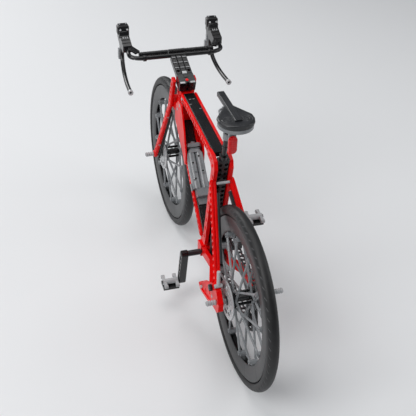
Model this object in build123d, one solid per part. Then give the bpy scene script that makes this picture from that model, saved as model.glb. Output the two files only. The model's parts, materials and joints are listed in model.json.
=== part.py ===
"""Brick-built scale model of a drop-bar road racing bicycle.

Frame of the model: +X forward, +Y to the rider's left, +Z up, millimetres.
The origin is on the ground, midway between the two wheel contact points.
Construction beams, pins and axles follow an 8 mm module.
"""
import math
import os

from build123d import *

# ---------------------------------------------------------------- driving dimensions (mm)
MODULE = 8.0
BEAM = 7.8
THIN = 3.8
AXLE_R = 2.4
BORE_R = 2.45
HOLE_R = 2.45
SINK_R = 3.1
SINK_DEPTH = 0.9

WHEELBASE = 44 * MODULE
TYRE_R = 15 * MODULE
TYRE_HALF_WIDTH = 7.5
RIM_OUTER_R = 107.5
RIM_INNER_R = 86.0
RIM_HALF_WIDTH = 6.3
RIM_SEAM = 0.25
CLIP_COUNT = 12
CLIP_R = 81.5
CLIP_HALF_WIDTH = 6.0
SPOKE_R = 1.55
HUB_FLANGE_R = 12.5
HUB_FLANGE_Y = 11.5
HUB_FLANGE_THICK = 3.0
HUB_SPIGOT_R = 6.2
ROTOR_R = 26.0
REAR_ROTOR_Y = 19.0
FRONT_ROTOR_Y = 14.4
ROTOR_THICK = 1.6

# heights along the steering axis, measured from the point level with the front axle's rake line
HEAD_TILT = 17.5
FORK_RAKE = 2 * MODULE
CROWN_LOW = 122.4
CROWN_HIGH = 132.2
HEAD_FOOT = 133.0
HEAD_TOP = 166.5
STEM_LOW = 169.0
STEM_HIGH = 184.5
STEM_PIN_FORWARD = -8.0
LEG_TOP = 174.0
LEG_Y = 12.2
LEG_THICK = 5.4
LEG_FORWARD = 5.5

BAR_FORWARD = 47.2
BAR_UP = 180.5
BAR_TUBE_R = 3.1
SLEEVE_R = 3.2
SLEEVE_PITCH = 8.6
SLEEVE_COUNT = 5
HOOD_Y = 68.0
HOOD_HALF_WIDTH = 6.6
LEVER_PIVOT = (388.0, HOOD_Y, 314.0)

SADDLE_Z = 341.0
REFLECTOR_Z = 305.5
BOTTLE_START = 62.0
BOTTLE_LENGTH = 52.0

CRANK_X = 16 * MODULE
CRANK_Z = 12 * MODULE
CRANK_LENGTH = 7 * MODULE
CRANK_ANGLE = -80.0
CRANK_ARM_Y = 39.6
CRANK_ARM_THICK = 10.0
PEDAL_Y = 56.5
PEDAL_LENGTH = 22.0

CHAIN_Y = -20.0
CHAIN_PITCH = MODULE
CHAIN_ROLLER_R = 1.6
RING_TEETH = 28
SPROCKET_TEETH = 12
PULLEY_TEETH = 8
GUIDE_PULLEY = (11.0, 92.0)
TENSION_PULLEY = (4.0, 68.0)
CAGE_INNER_Y = -14.4
CAGE_OUTER_Y = -25.6

REAR_PEG_LEFT_Y = 47.0
REAR_PEG_RIGHT_Y = -56.0
FRONT_PEG_Y = 42.0
PEG_R = 3.6
PEG_LENGTH = 13.0
DROPOUT_Y = 30.4
DROPOUT_THICK = 6.8

# ---------------------------------------------------------------- placing helpers
REAR_X = -WHEELBASE / 2
FRONT_X = WHEELBASE / 2
AXLE_Z = TYRE_R
SIDES = (1, -1)
ACROSS = Vector(0, 1, 0)
RISING = (Align.CENTER, Align.CENTER, Align.MIN)


def spot(x, y, z):
    """Point measured forward from the rear axle, left of the middle plane and up from the ground."""
    return Vector(REAR_X + x, y, z)


tilt = math.radians(HEAD_TILT)
STEER_FORWARD = Vector(math.cos(tilt), 0, math.sin(tilt))
STEER_UP = Vector(-math.sin(tilt), 0, math.cos(tilt))
STEER_ORIGIN = Vector(FRONT_X, 0, AXLE_Z) - STEER_FORWARD * FORK_RAKE
STEER_PLACE = Pos(*STEER_ORIGIN) * Rot(0, -HEAD_TILT, 0)


def steered(forward, y, up):
    """Point given in the steering frame: forward of the steering axis, left, up along the axis."""
    return STEER_ORIGIN + STEER_FORWARD * forward + ACROSS * y + STEER_UP * up


# corners of the frame's triangles, and the lines between them
SEAT_FOOT = spot(130, 0, 112)
SEAT_KNEE = spot(102, 0, 262)
TOP_FRONT = spot(261.5, 0, 269.5)
TOP_REAR = spot(108, 0, 263)
DOWN_FOOT = spot(147, 0, 113)
DOWN_HEAD = spot(281, 0, 232)
STAY_FOOT = spot(12, 29, 134)
STAY_TOP = spot(101, 12.4, 232)
SEAT_LINE = (SEAT_KNEE - SEAT_FOOT).normalized()
SEAT_SLOPE = -SEAT_LINE.X / SEAT_LINE.Z
DOWN_LINE = (DOWN_HEAD - DOWN_FOOT).normalized()
DOWN_PLACE = Plane(origin=DOWN_FOOT, x_dir=ACROSS, z_dir=DOWN_LINE).location
BAR_CENTRE = steered(BAR_FORWARD, 0, BAR_UP)
BAR_X = BAR_CENTRE.X - REAR_X
BAR_Z = BAR_CENTRE.Z
crank_angle = math.radians(CRANK_ANGLE)
CRANK_DX = CRANK_LENGTH * math.cos(crank_angle)
CRANK_DZ = CRANK_LENGTH * math.sin(crank_angle)


def sideways(line):
    """Unit vector square to the line that lies as nearly as it can across the bicycle."""
    along = line.normalized()
    return (ACROSS - along * ACROSS.dot(along)).normalized()


def lying_across(solid, x, y, z):
    """Turn a solid made about the Z axis so that its axis runs along +Y, and place it."""
    return Pos(x, y, z) * Rot(-90, 0, 0) * solid


# ---------------------------------------------------------------- shared building pieces
def rail(start, end, width, depth, corner=1.0):
    """Straight bar of rounded rectangular section; its width lies across the bicycle."""
    line = end - start
    plane = Plane(origin=start, x_dir=sideways(line), z_dir=line)
    return extrude(plane * RectangleRounded(width, depth, corner), amount=line.length)


def rod(start, end, radius):
    """Round bar between two points."""
    line = end - start
    return extrude(Plane(origin=start, z_dir=line) * Circle(radius), amount=line.length)


def trimmed(solid, neighbours):
    """The largest piece left of a solid once its neighbours are cut out of it."""
    rest = solid - neighbours
    return rest.solids().sort_by(SortBy.VOLUME)[-1]


def drilled(solid, places, thickness):
    """Cut stepped pin holes through a beam at the given locations."""
    tools = []
    for place in places:
        tools.append(place * Cylinder(HOLE_R, thickness + 2))
        for side in SIDES:
            tools.append(place * Pos(0, 0, side * thickness / 2) * Cylinder(SINK_R, 2 * SINK_DEPTH))
    return solid - tools


def liftarm(start, end, thickness, depth=BEAM, soften=0.5):
    """Beam with rounded ends and a pin hole on every module between its two end holes."""
    line = end - start
    steps = round(line.length / MODULE)
    place = Plane(origin=start, x_dir=line, z_dir=sideways(line)).location
    outline = place * Pos(line.length / 2, 0, 0) * SlotCenterToCenter(line.length, depth)
    body = extrude(outline, amount=thickness / 2, both=True)
    cheeks = [face for face in body.faces() if abs(face.normal_at().dot(sideways(line))) > 0.99]
    body = chamfer([edge for cheek in cheeks for edge in cheek.edges()], soften)
    holes = [place * Pos(line.length * i / steps, 0, 0) for i in range(steps + 1)]
    return drilled(body, holes, thickness)


def plate(points, y_low, y_high, corner=1.5):
    """Flat plate with a polygon outline in side view, its corners rounded."""
    outline = make_face(Polyline(*points, close=True))
    outline = fillet(outline.vertices(), corner)
    return extrude(Plane(origin=(0, y_high, 0), x_dir=(1, 0, 0), z_dir=(0, -1, 0)) * outline,
                   amount=y_high - y_low)


def side_points(*pairs):
    """Side-view points measured from the rear axle, as (x, z) in the model's own frame."""
    return [(REAR_X + x, z) for x, z in pairs]


def mirrored(solid):
    """The solid's mirror image on the other side of the middle plane."""
    return mirror(solid, about=Plane.XZ)


def both_sides(solid):
    """A left piece and its right-hand twin."""
    return [solid, mirrored(solid)]


def ribbed_peg(length, radius, ribs=4):
    """Round peg with raised rings and an axle socket, standing on the Z axis."""
    core = Cylinder(radius - 0.7, length, align=RISING)
    ring_height = length / ribs * 0.62
    for i in range(ribs):
        foot = length * i / ribs + (length / ribs - ring_height) / 2
        ring = Cylinder(radius, ring_height, align=RISING)
        core += Pos(0, 0, foot) * chamfer(ring.edges(), 0.35)
    return core - Pos(0, 0, -1) * Cylinder(AXLE_R + 0.02, length + 2, align=RISING)


# ---------------------------------------------------------------- wheels
def tyre():
    """Rubber tyre about the Z axis: a round crown over two short side walls."""
    wall_r = TYRE_R - 8.0
    bead = RIM_HALF_WIDTH - 0.3
    edge = Polyline((wall_r, -TYRE_HALF_WIDTH), (RIM_OUTER_R + 0.1, -bead),
                    (RIM_OUTER_R + 0.1, bead), (wall_r, TYRE_HALF_WIDTH))
    crown = ThreePointArc((wall_r, TYRE_HALF_WIDTH), (TYRE_R, 0), (wall_r, -TYRE_HALF_WIDTH))
    return revolve(Plane.XZ * make_face(edge + crown), Axis.Z)


def rim_segments():
    """Deep rim made of equal arcs that meet at the spoke clips, with a channel on the inside."""
    arc_angle = 360 / CLIP_COUNT
    seam_angle = math.degrees(RIM_SEAM / RIM_INNER_R)
    half = RIM_HALF_WIDTH
    outline = make_face(Polyline(
        (RIM_OUTER_R, -half + 0.8), (RIM_OUTER_R, half - 0.8), (RIM_OUTER_R - 2, half),
        (RIM_INNER_R + 5, half - 0.9), (RIM_INNER_R, half - 2.4), (RIM_INNER_R, 3.0),
        (RIM_INNER_R + 7, 3.0), (RIM_INNER_R + 7, -3.0), (RIM_INNER_R, -3.0),
        (RIM_INNER_R, -half + 2.4), (RIM_INNER_R + 5, -half + 0.9), (RIM_OUTER_R - 2, -half),
        close=True))
    arc = revolve(Plane.XZ * outline, Axis.Z, revolution_arc=arc_angle - seam_angle)
    return [Rot(0, 0, clip_angle(i) + seam_angle / 2) * arc for i in range(CLIP_COUNT)]


def clip_angle(i):
    """Angle of spoke clip number i round the wheel."""
    return 360 / CLIP_COUNT * (i + 0.5)


def spoke_clip():
    """T-shaped connector: a cross barrel with a foot that plugs into the rim's channel."""
    barrel = Pos(CLIP_R, 0, 0) * Cylinder(2.9, 2 * CLIP_HALF_WIDTH)
    foot = Pos((CLIP_R + RIM_INNER_R + 6) / 2, 0, 0) * Box(RIM_INNER_R + 6 - CLIP_R, 5.0, 5.8)
    collar = Pos(CLIP_R + 1.6, 0, 0) * Box(3.6, 7.4, 8.4)
    bores = [Pos(CLIP_R, 0, side * CLIP_HALF_WIDTH) * Cylinder(1.5, 4) for side in SIDES]
    return barrel + foot + collar - bores


def clip_ring():
    """All the spoke clips of one wheel."""
    return [Rot(0, 0, clip_angle(i)) * spoke_clip() for i in range(CLIP_COUNT)]


def spoke_lines():
    """Hub and rim ends of every spoke: crossing pairs, one from each hub flange to each clip."""
    lines = []
    for i in range(CLIP_COUNT):
        for side in SIDES:
            lead = side * (1 if i % 2 else -1) * 62
            hub_angle = math.radians(clip_angle(i) + lead)
            rim_angle = math.radians(clip_angle(i))
            hub_end = Vector((HUB_FLANGE_R - 2.6) * math.cos(hub_angle),
                             (HUB_FLANGE_R - 2.6) * math.sin(hub_angle), side * HUB_FLANGE_Y)
            rim_end = Vector(CLIP_R * math.cos(rim_angle), CLIP_R * math.sin(rim_angle),
                             side * (CLIP_HALF_WIDTH - 2.2))
            lines.append((hub_end, rim_end))
    return lines


def spokes(clips, hub_body):
    """Spokes cut back to end on the clips and the hub flanges."""
    made = []
    for i, (hub_end, rim_end) in enumerate(spoke_lines()):
        made.append(trimmed(rod(hub_end, rim_end, SPOKE_R), [clips[i // 2], hub_body]))
    return made


def hub(left_end, right_end):
    """Hub about the Z axis: bored barrel, two flanges, four tie rods and end spigots."""
    body = Cylinder(4.6, 2 * HUB_FLANGE_Y)
    for side in SIDES:
        flange = Pos(0, 0, side * HUB_FLANGE_Y) * Cylinder(HUB_FLANGE_R, HUB_FLANGE_THICK)
        body += chamfer(flange.edges(), 0.4)
    for turn in range(4):
        body += Rot(0, 0, 45 + 90 * turn) * Pos(7.6, 0, 0) * Cylinder(1.9, 2 * HUB_FLANGE_Y)
    body += Pos(0, 0, HUB_FLANGE_Y) * Cylinder(HUB_SPIGOT_R, left_end - HUB_FLANGE_Y, align=RISING)
    body += Pos(0, 0, right_end) * Cylinder(HUB_SPIGOT_R, -right_end - HUB_FLANGE_Y, align=RISING)
    return body - Cylinder(BORE_R, 100)


def rotor():
    """Slotted brake disc about the Z axis."""
    disc = Cylinder(ROTOR_R, ROTOR_THICK) - Cylinder(4.2, 4)
    slot = extrude(SlotArc(CenterArc((0, 0), 18.0, 0, 17), 5.2), amount=4, both=True)
    hole = Pos(23.2, 0, 0) * Cylinder(0.9, 4)
    window = Pos(10.4, 0, 0) * Cylinder(2.1, 4)
    cuts = [Rot(0, 0, 40 * i) * slot for i in range(9)]
    cuts += [Rot(0, 0, 15 * i) * hole for i in range(24)]
    cuts += [Rot(0, 0, 60 * i) * window for i in range(6)]
    return disc - cuts


def toothed_disc(teeth, thickness, bore):
    """Chain wheel whose shallow teeth stay just inside the chain's rollers."""
    tip = pitch_radius(teeth) - CHAIN_ROLLER_R - 0.35
    outline = Circle(tip) - PolarLocations(tip + 0.6, teeth) * Circle(1.9) - Circle(bore)
    return extrude(outline, amount=thickness / 2, both=True)


def pitch_radius(teeth):
    """Pitch radius of a chain wheel."""
    return CHAIN_PITCH / (2 * math.sin(math.pi / teeth))


def sprocket():
    """Rear sprocket with six lightening holes."""
    disc = toothed_disc(SPROCKET_TEETH, 2.4, AXLE_R + 1.85)
    return disc - [Rot(0, 0, 60 * i) * Pos(8.2, 0, 0) * Cylinder(1.6, 4) for i in range(6)]


def at_wheel(solids, x):
    """Put wheel pieces made about the Z axis onto the axle at x."""
    return [lying_across(solid, x, 0, AXLE_Z) for solid in solids]


def wheel(prefix, x, rotor_y, right_end, parts):
    """Fill in one wheel's nodes; right_end is where its hub stops on the right."""
    clips = clip_ring()
    body = hub(rotor_y + ROTOR_THICK / 2 + 1.2, right_end)
    disc = Pos(0, 0, rotor_y) * (rotor() - Cylinder(HUB_SPIGOT_R + 0.05, 4))
    parts[prefix + "_tyre"] = at_wheel([tyre()], x)
    parts[prefix + "_rim"] = at_wheel(rim_segments(), x)
    parts[prefix + "_spoke_clips"] = at_wheel(clips, x)
    parts[prefix + "_spokes"] = at_wheel(spokes(clips, body), x)
    parts[prefix + "_hub"] = at_wheel([body], x)
    parts[prefix + "_rotor"] = at_wheel([disc], x)


# ---------------------------------------------------------------- chain path
def tangent(a, b):
    """Straight run of the chain from wheel a to wheel b, as its two end points.

    A wheel is (x, z, radius, sense), with sense +1 where the chain turns clockwise seen from +Y.
    """
    (ax, az, ar, asense), (bx, bz, br, bsense) = a, b
    dx, dz = bx - ax, bz - az
    length = math.hypot(dx, dz)
    heading = math.atan2(dz, dx)
    lean = math.asin((asense * ar - bsense * br) / length)
    normal = heading + math.pi / 2 - lean
    nx, nz = math.cos(normal), math.sin(normal)
    return ((ax + asense * ar * nx, az + asense * ar * nz),
            (bx + bsense * br * nx, bz + bsense * br * nz))


def chain_points():
    """Pin centres of the closed chain, evenly spaced along its path in side view."""
    wheels = [
        (CRANK_X, CRANK_Z, pitch_radius(RING_TEETH), -1),
        (0.0, AXLE_Z, pitch_radius(SPROCKET_TEETH), -1),
        (*GUIDE_PULLEY, pitch_radius(PULLEY_TEETH), 1),
        (*TENSION_PULLEY, pitch_radius(PULLEY_TEETH), -1),
    ]
    runs = [tangent(wheels[i], wheels[(i + 1) % 4]) for i in range(4)]
    path = []
    for i in range(4):
        path.append(("line", runs[i][0], runs[i][1]))
        x, z, r, sense = wheels[(i + 1) % 4]
        start = math.atan2(runs[i][1][1] - z, runs[i][1][0] - x)
        stop = math.atan2(runs[(i + 1) % 4][0][1] - z, runs[(i + 1) % 4][0][0] - x)
        sweep_angle = (stop - start) * -sense % (2 * math.pi) * -sense
        path.append(("arc", (x, z, r), start, sweep_angle))
    lengths = [math.dist(p[1], p[2]) if p[0] == "line" else p[1][2] * abs(p[3]) for p in path]
    count = 2 * round(sum(lengths) / CHAIN_PITCH / 2)
    points = []
    for k in range(count):
        left = sum(lengths) * (k + 0.25) / count
        for piece, length in zip(path, lengths):
            if left <= length:
                break
            left -= length
        points.append(point_on(piece, left / length))
    return points


def point_on(piece, share):
    """Point at a share of the way along one straight or curved stretch of the chain."""
    if piece[0] == "line":
        (ax, az), (bx, bz) = piece[1], piece[2]
        return ax + (bx - ax) * share, az + (bz - az) * share
    (x, z, r), start, sweep_angle = piece[1], piece[2], piece[3]
    angle = start + sweep_angle * share
    return x + r * math.cos(angle), z + r * math.sin(angle)


def chain_link(a, b, outer):
    """One roller-chain link between two pin centres; outer links carry the pins."""
    start, end = spot(a[0], CHAIN_Y, a[1]), spot(b[0], CHAIN_Y, b[1])
    line = end - start
    place = Plane(origin=start, x_dir=line, z_dir=ACROSS).location
    gap = 3.45 if outer else 2.35
    thick = 0.9
    outline = place * Pos(line.length / 2, 0, 0) * SlotCenterToCenter(line.length, 4.4)
    side = extrude(outline, amount=thick / 2, both=True)
    body = None
    for way in SIDES:
        moved = Pos(0, way * gap, 0) * side
        body = moved if body is None else body + moved
    for station in (0, line.length):
        pin = place * Pos(station, 0, 0)
        if outer:
            body += pin * Cylinder(0.95, 2 * gap + thick)
        else:
            body += pin * Cylinder(CHAIN_ROLLER_R, 2 * gap)
            body -= pin * Cylinder(1.0, 20)
    return body


def chain():
    """Closed roller chain: outer and inner links in turn."""
    points = chain_points()
    return [chain_link(points[i], points[(i + 1) % len(points)], i % 2 == 0)
            for i in range(len(points))]


# ---------------------------------------------------------------- frame
def head_tube():
    """Head block on the steering axis, bored for the steerer, with pin sockets on its sides."""
    height = HEAD_TOP - HEAD_FOOT
    block = Pos(0, 0, (HEAD_FOOT + HEAD_TOP) / 2) * Box(16, 15.6, height)
    block = fillet(block.edges().filter_by(Axis.Z), 3.0)
    block -= Pos(0, 0, 150) * Cylinder(BORE_R, 100)
    for row in range(4):
        socket = Pos(0, 0, HEAD_FOOT + 4.5 + MODULE * row) * Rot(90, 0, 0) * Cylinder(SINK_R, 1.8)
        block -= Pos(0, 7.8, 0) * socket
        block -= Pos(0, -7.8, 0) * socket
    return STEER_PLACE * block


def head_lug():
    """Rear lug of the head that carries the top and down tubes.

    Its underside runs level behind the head, so that the crown's corners pass under it as the fork turns.
    """
    corners = [steered(-8.05, 0, HEAD_TOP - 1), steered(-8.05, 0, HEAD_FOOT + 1),
               steered(-17.0, 0, HEAD_FOOT + 1), spot(272, 0, 222), spot(257, 0, 244),
               steered(-21.0, 0, HEAD_TOP)]
    return plate([(corner.X, corner.Z) for corner in corners], -7.6, 7.6, 1.2)


def top_tube_rails(neighbours):
    """Two slim red rails along the sides of the top tube."""
    left = liftarm(TOP_FRONT + Vector(0, 9.9, 0), TOP_REAR + Vector(14, 9.9, 0), THIN, 9.0, 1.1)
    return [part - neighbours for part in both_sides(left)]


def top_tube_cover():
    """Flat dark cover between the rails, with shallow tile joints across it."""
    start, end = TOP_FRONT + Vector(2, 0, 0), TOP_REAR + Vector(10, 0, 0)
    cover = rail(start, end, 15.6, 7.0, 1.0)
    line = end - start
    joints = 5
    for i in range(1, joints):
        centre = start + line * (i / joints) + Vector(0, 0, 3.6)
        cover -= Pos(*centre) * Rot(0, -math.degrees(math.atan2(line.Z, line.X)), 0) * Box(0.4, 17, 0.9)
    return cover


def down_tube_rails(neighbours):
    """Two slim red rails along the sides of the down tube."""
    left = liftarm(DOWN_FOOT + Vector(0, 9.9, 0), DOWN_HEAD + Vector(-6, 9.9, -5), THIN, 8.6, 1.1)
    return [part - neighbours for part in both_sides(left)]


def down_tube_panel():
    """Dark ribbed panel between the rails of the down tube."""
    panel = rail(DOWN_FOOT, DOWN_HEAD - DOWN_LINE * 10, 15.6, 7.0, 1.0)
    place = Plane(origin=DOWN_FOOT, x_dir=ACROSS, z_dir=DOWN_LINE).location
    grooves = [place * Pos(x, 3.5, 85) * Box(1.2, 1.2, 220) for x in (-4, 4)]
    return panel - grooves


def head_gussets(neighbours):
    """Wide red panels on both sides that spread from the down tube to the head."""
    points = side_points((222, 176), (240, 193), (264, 211), (282, 224), (282, 236), (277, 250),
                         (267, 261), (252, 262), (236, 232), (222, 198))
    left = plate(points, 11.9, 14.2, 3.0)
    return [part - neighbours for part in both_sides(left)]


def seat_tube_core():
    """Dark beams of the seat tube with pin sockets down their front and rear faces."""
    core = rail(SEAT_FOOT, SEAT_KNEE + SEAT_LINE * 5, 15.6, BEAM, 0.9)
    place = Plane(origin=SEAT_FOOT, x_dir=ACROSS, z_dir=SEAT_LINE).location
    length = (SEAT_KNEE - SEAT_FOOT).length
    sockets = []
    for row in range(int(length / MODULE)):
        for column in (-3.95, 3.95):
            for face in SIDES:
                socket = Rot(90, 0, 0) * Cylinder(HOLE_R, 4)
                sockets.append(place * Pos(column, face * BEAM / 2, 6 + row * MODULE) * socket)
    return core - sockets - place * Pos(0, 0, length + 3) * Cylinder(3.4, 40)


def seat_tube_plates():
    """Red side plates of the seat tube, cranked forward at the knee to meet the top tube."""
    points = side_points((121, 112), (131, 112), (118, 190), (109, 248), (114, 256), (128, 259),
                         (127, 268), (110, 269), (99, 264), (96, 254), (108, 190))
    left = plate(points, 8.0, 13.0, 2.5)
    holes = [(104.5, 256), (112, 262.6), (120, 263.4)]
    holes += [(126 - 8 * SEAT_SLOPE * (i + 1), 112 + 8 * (i + 1)) for i in range(1, 16, 2)]
    for x, z in holes:
        left -= Pos(REAR_X + x, 13.0, z) * Rot(90, 0, 0) * Cylinder(SINK_R - 0.4, 1.6)
    return both_sides(left)


def seat_post():
    """Round dark post that stands in the seat tube and carries the saddle."""
    foot = SEAT_KNEE - SEAT_LINE * 14
    top = foot + SEAT_LINE * 90
    post = rod(foot, top, 3.35)
    collar = rod(SEAT_KNEE + SEAT_LINE * 6, SEAT_KNEE + SEAT_LINE * 11, 5.6)
    bands = [rod(SEAT_KNEE + SEAT_LINE * s, SEAT_KNEE + SEAT_LINE * (s + 3), 3.9) for s in (24, 40, 56)]
    return post + collar + bands


def seat_stays(neighbours):
    """Four slim red beams: each seat stay is a pair of them side by side."""
    made = []
    side = sideways(STAY_TOP - STAY_FOOT)
    for offset in (-2.0, 2.0):
        left = liftarm(STAY_FOOT + side * offset, STAY_TOP + side * offset, THIN, BEAM, 0.9)
        made += both_sides(left)
    return [trimmed(part, neighbours) for part in made]


def seat_stay_inner_bars():
    """Dark bars that run along the inner faces of the seat stays."""
    line = STAY_TOP - STAY_FOOT
    inward = sideways(line) * -6.0
    low = STAY_FOOT + line * 0.22 + inward
    high = STAY_FOOT + line * 0.90 + inward
    return both_sides(rail(low, high, 3.8, 5.6, 0.9))


def chainstay():
    """Left chainstay: runs close beside the tyre, then spreads to the dropout."""
    plan = [(0, 9.4), (40, 10.0), (96, 27.2), (96, 33.6), (38, 15.4), (0, 15.0)]
    outline = make_face(Polyline(*[(-x, y) for x, y in plan], close=True))
    outline = fillet(outline.vertices(), 1.0)
    beam = extrude(outline, amount=6.0, both=True)
    rise = math.degrees(math.atan2(22, 96))
    return Pos(REAR_X + 123.5, 0, 100) * Rot(0, rise, 0) * beam


def dropout():
    """Left dropout: faceted plate with the axle hole, round windows and a lower tongue."""
    points = side_points((-4, 105), (-10, 112), (-9, 124), (2, 136), (14, 138.5), (24, 133),
                         (34, 122), (62, 102), (76, 88), (66, 83), (34, 92), (14, 102))
    low, high = DROPOUT_Y - DROPOUT_THICK / 2, DROPOUT_Y + DROPOUT_THICK / 2
    body = plate(points, low, high, 2.2)
    windows = [(0, 120, BORE_R), (17, 115, HOLE_R), (22, 123.5, HOLE_R), (31, 108, 3.4),
               (48, 98, HOLE_R), (64, 90, HOLE_R)]
    for x, z, r in windows:
        body -= Pos(REAR_X + x, DROPOUT_Y, z) * Rot(90, 0, 0) * Cylinder(r, 20)
    step = plate(side_points((20, 104), (34, 96), (62, 87), (70, 90), (58, 101), (30, 118)),
                 high - 1.6, high + 1, 1.5)
    return body - step


def bottom_bracket_shell():
    """Red block that holds the crank axle and joins the tubes and chainstays."""
    points = side_points((122.5, 84), (146, 82), (152, 92), (150, 106), (140, 111.5), (127.5, 111.5),
                         (121.5, 104))
    block = plate(points, -9.2, 9.2, 2.0)
    ears = plate(side_points((128.5, 86), (144, 85), (146, 104), (128.5, 106)), -15.0, 15.0, 2.0)
    bore = Pos(REAR_X + CRANK_X, 0, CRANK_Z) * Rot(90, 0, 0) * Cylinder(BORE_R, 60)
    return block + ears - bore


def brake_connector():
    """T-shaped connector that stands on the left dropout, behind the seat stay."""
    foot = spot(7.5, 29.4, 140.0)
    barrel = rod(foot - Vector(0, 5, 0), foot + Vector(0, 5, 0), 2.6)
    post = rod(foot, spot(9.5, 29.4, 162.0), 2.4)
    return barrel + post


def frame_pins():
    """Cross axle between the stay tops, and the short pins that hold the dropouts."""
    pins = [rod(spot(96, -8.4, 233.5), spot(96, 8.4, 233.5), 1.9)]
    for side in SIDES:
        for x, z in ((17, 115), (64, 90)):
            inner = side * (DROPOUT_Y - DROPOUT_THICK / 2)
            outer = side * (DROPOUT_Y + DROPOUT_THICK / 2 + 0.4)
            pins.append(rod(spot(x, inner, z), spot(x, outer, z), AXLE_R - 0.05))
    return pins


# ---------------------------------------------------------------- derailleur
def derailleur():
    """Body on the rear axle's right end and a two-plate cage that holds the pulleys."""
    body = plate(side_points((-7, 114), (7, 114), (17, 100), (17, 86), (5, 86), (3, 98), (-7, 112)),
                 -42.6, -34.2, 0.6)
    body += plate(side_points((-7, 111), (7, 111), (7, 127), (-7, 127)), -42.6, -34.2, 3.0)
    body += plate(side_points((6, 87), (16, 87), (16, 97), (6, 97)), -34.4, -26.5, 2.0)
    body -= Pos(REAR_X, -38, AXLE_Z) * Rot(90, 0, 0) * Cylinder(BORE_R, 20)
    gx, gz = GUIDE_PULLEY
    tx, tz = TENSION_PULLEY
    pieces = [body]
    for y in (CAGE_INNER_Y, CAGE_OUTER_Y):
        cheek = liftarm(spot(tx, y, tz), spot(gx, y, gz), 1.6, 11.0, 0.3)
        pieces.append(cheek)
    for x, z in (GUIDE_PULLEY, TENSION_PULLEY):
        pieces.append(rod(spot(x, CAGE_OUTER_Y - 0.8, z), spot(x, CAGE_INNER_Y + 0.8, z), AXLE_R - 0.05))
    return pieces


def pulley():
    """Small toothed pulley about the Z axis, with a hub and a running bore."""
    wheel_disc = toothed_disc(PULLEY_TEETH, 3.0, AXLE_R)
    sleeve = Cylinder(4.2, 8.0)
    return wheel_disc + sleeve - Cylinder(BORE_R - 0.03, 20)


# ---------------------------------------------------------------- fork, stem and handlebar
def steerer():
    """Round red steerer that turns in the head block and stops level with the stem's top."""
    foot = CROWN_LOW - 0.4
    return STEER_PLACE * Pos(0, 0, foot) * Cylinder(AXLE_R, STEM_HIGH - foot, align=RISING)


def stem_pin():
    """Short red pin with a round head, pressed into the rear of the stem block."""
    shank = Pos(STEM_PIN_FORWARD, 0, STEM_HIGH - 6) * Cylinder(AXLE_R, 7.2, align=RISING)
    return STEER_PLACE * chamfer(shank.edges().sort_by(Axis.Z)[-1], 0.7)


def fork_crown_block():
    """Cross block under the head that joins the two fork legs, bored for the steerer."""
    points = [(-9, CROWN_LOW + 3), (-4, CROWN_LOW), (13, CROWN_LOW), (17, CROWN_LOW + 3),
              (17, CROWN_HIGH - 1), (14, CROWN_HIGH), (-9, CROWN_HIGH)]
    block = plate(points, -LEG_Y + 0.05, LEG_Y - 0.05, 1.2)
    block -= Pos(0, 0, 128) * Cylinder(AXLE_R + 0.02, 40)
    return STEER_PLACE * block


def fork_outer_blade():
    """Left outer blade: upright beside the head, then spreading down to the front axle."""
    top = steered(LEG_FORWARD, LEG_Y + LEG_THICK / 2, LEG_TOP)
    crown = steered(LEG_FORWARD, LEG_Y + LEG_THICK / 2, CROWN_LOW)
    foot = steered(FORK_RAKE, 26.0, -3.0)
    upper = rail(crown, top, LEG_THICK, 10.5, 1.8)
    lower = rail(foot, crown + STEER_UP * 1.5, LEG_THICK, 8.6, 1.8)
    knee = Pos(*crown) * Sphere(3.2)
    tip = rod(foot + Vector(0, 2.7, 3), foot + Vector(0, -2.7, 3), 5.2)
    blade = upper + lower + knee + tip - fork_crown_block()
    line = crown - foot
    for i in range(1, 9):
        centre = foot + line * (i / 9.0)
        blade -= rod(centre + Vector(0, 1.9, 0), centre + Vector(0, 6, 0), 1.9)
    for i in range(5):
        centre = steered(LEG_FORWARD, LEG_Y + LEG_THICK - 0.8, CROWN_LOW + 10 + MODULE * i)
        blade -= rod(centre, centre + Vector(0, 6, 0), SINK_R - 0.5)
    bore = Pos(FRONT_X, 30, AXLE_Z) * Rot(90, 0, 0) * Cylinder(AXLE_R + 0.02, 60)
    return blade - bore


def fork_inner_blade():
    """Left inner blade: dark holed beam between the outer blade and the wheel."""
    foot = steered(FORK_RAKE, 20.3, -8.0)
    crown = steered(9.5, 11.6, 103.0)
    beam = rail(foot, crown, 4.2, 8.0, 0.9)
    line = crown - foot
    for i in range(13):
        centre = foot + line * ((i + 0.6) / 13.2)
        beam -= rod(centre - Vector(0, 6, 0), centre + Vector(0, 6, 0), HOLE_R)
    bore = Pos(FRONT_X, 30, AXLE_Z) * Rot(90, 0, 0) * Cylinder(AXLE_R + 0.02, 60)
    return beam - bore


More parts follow.
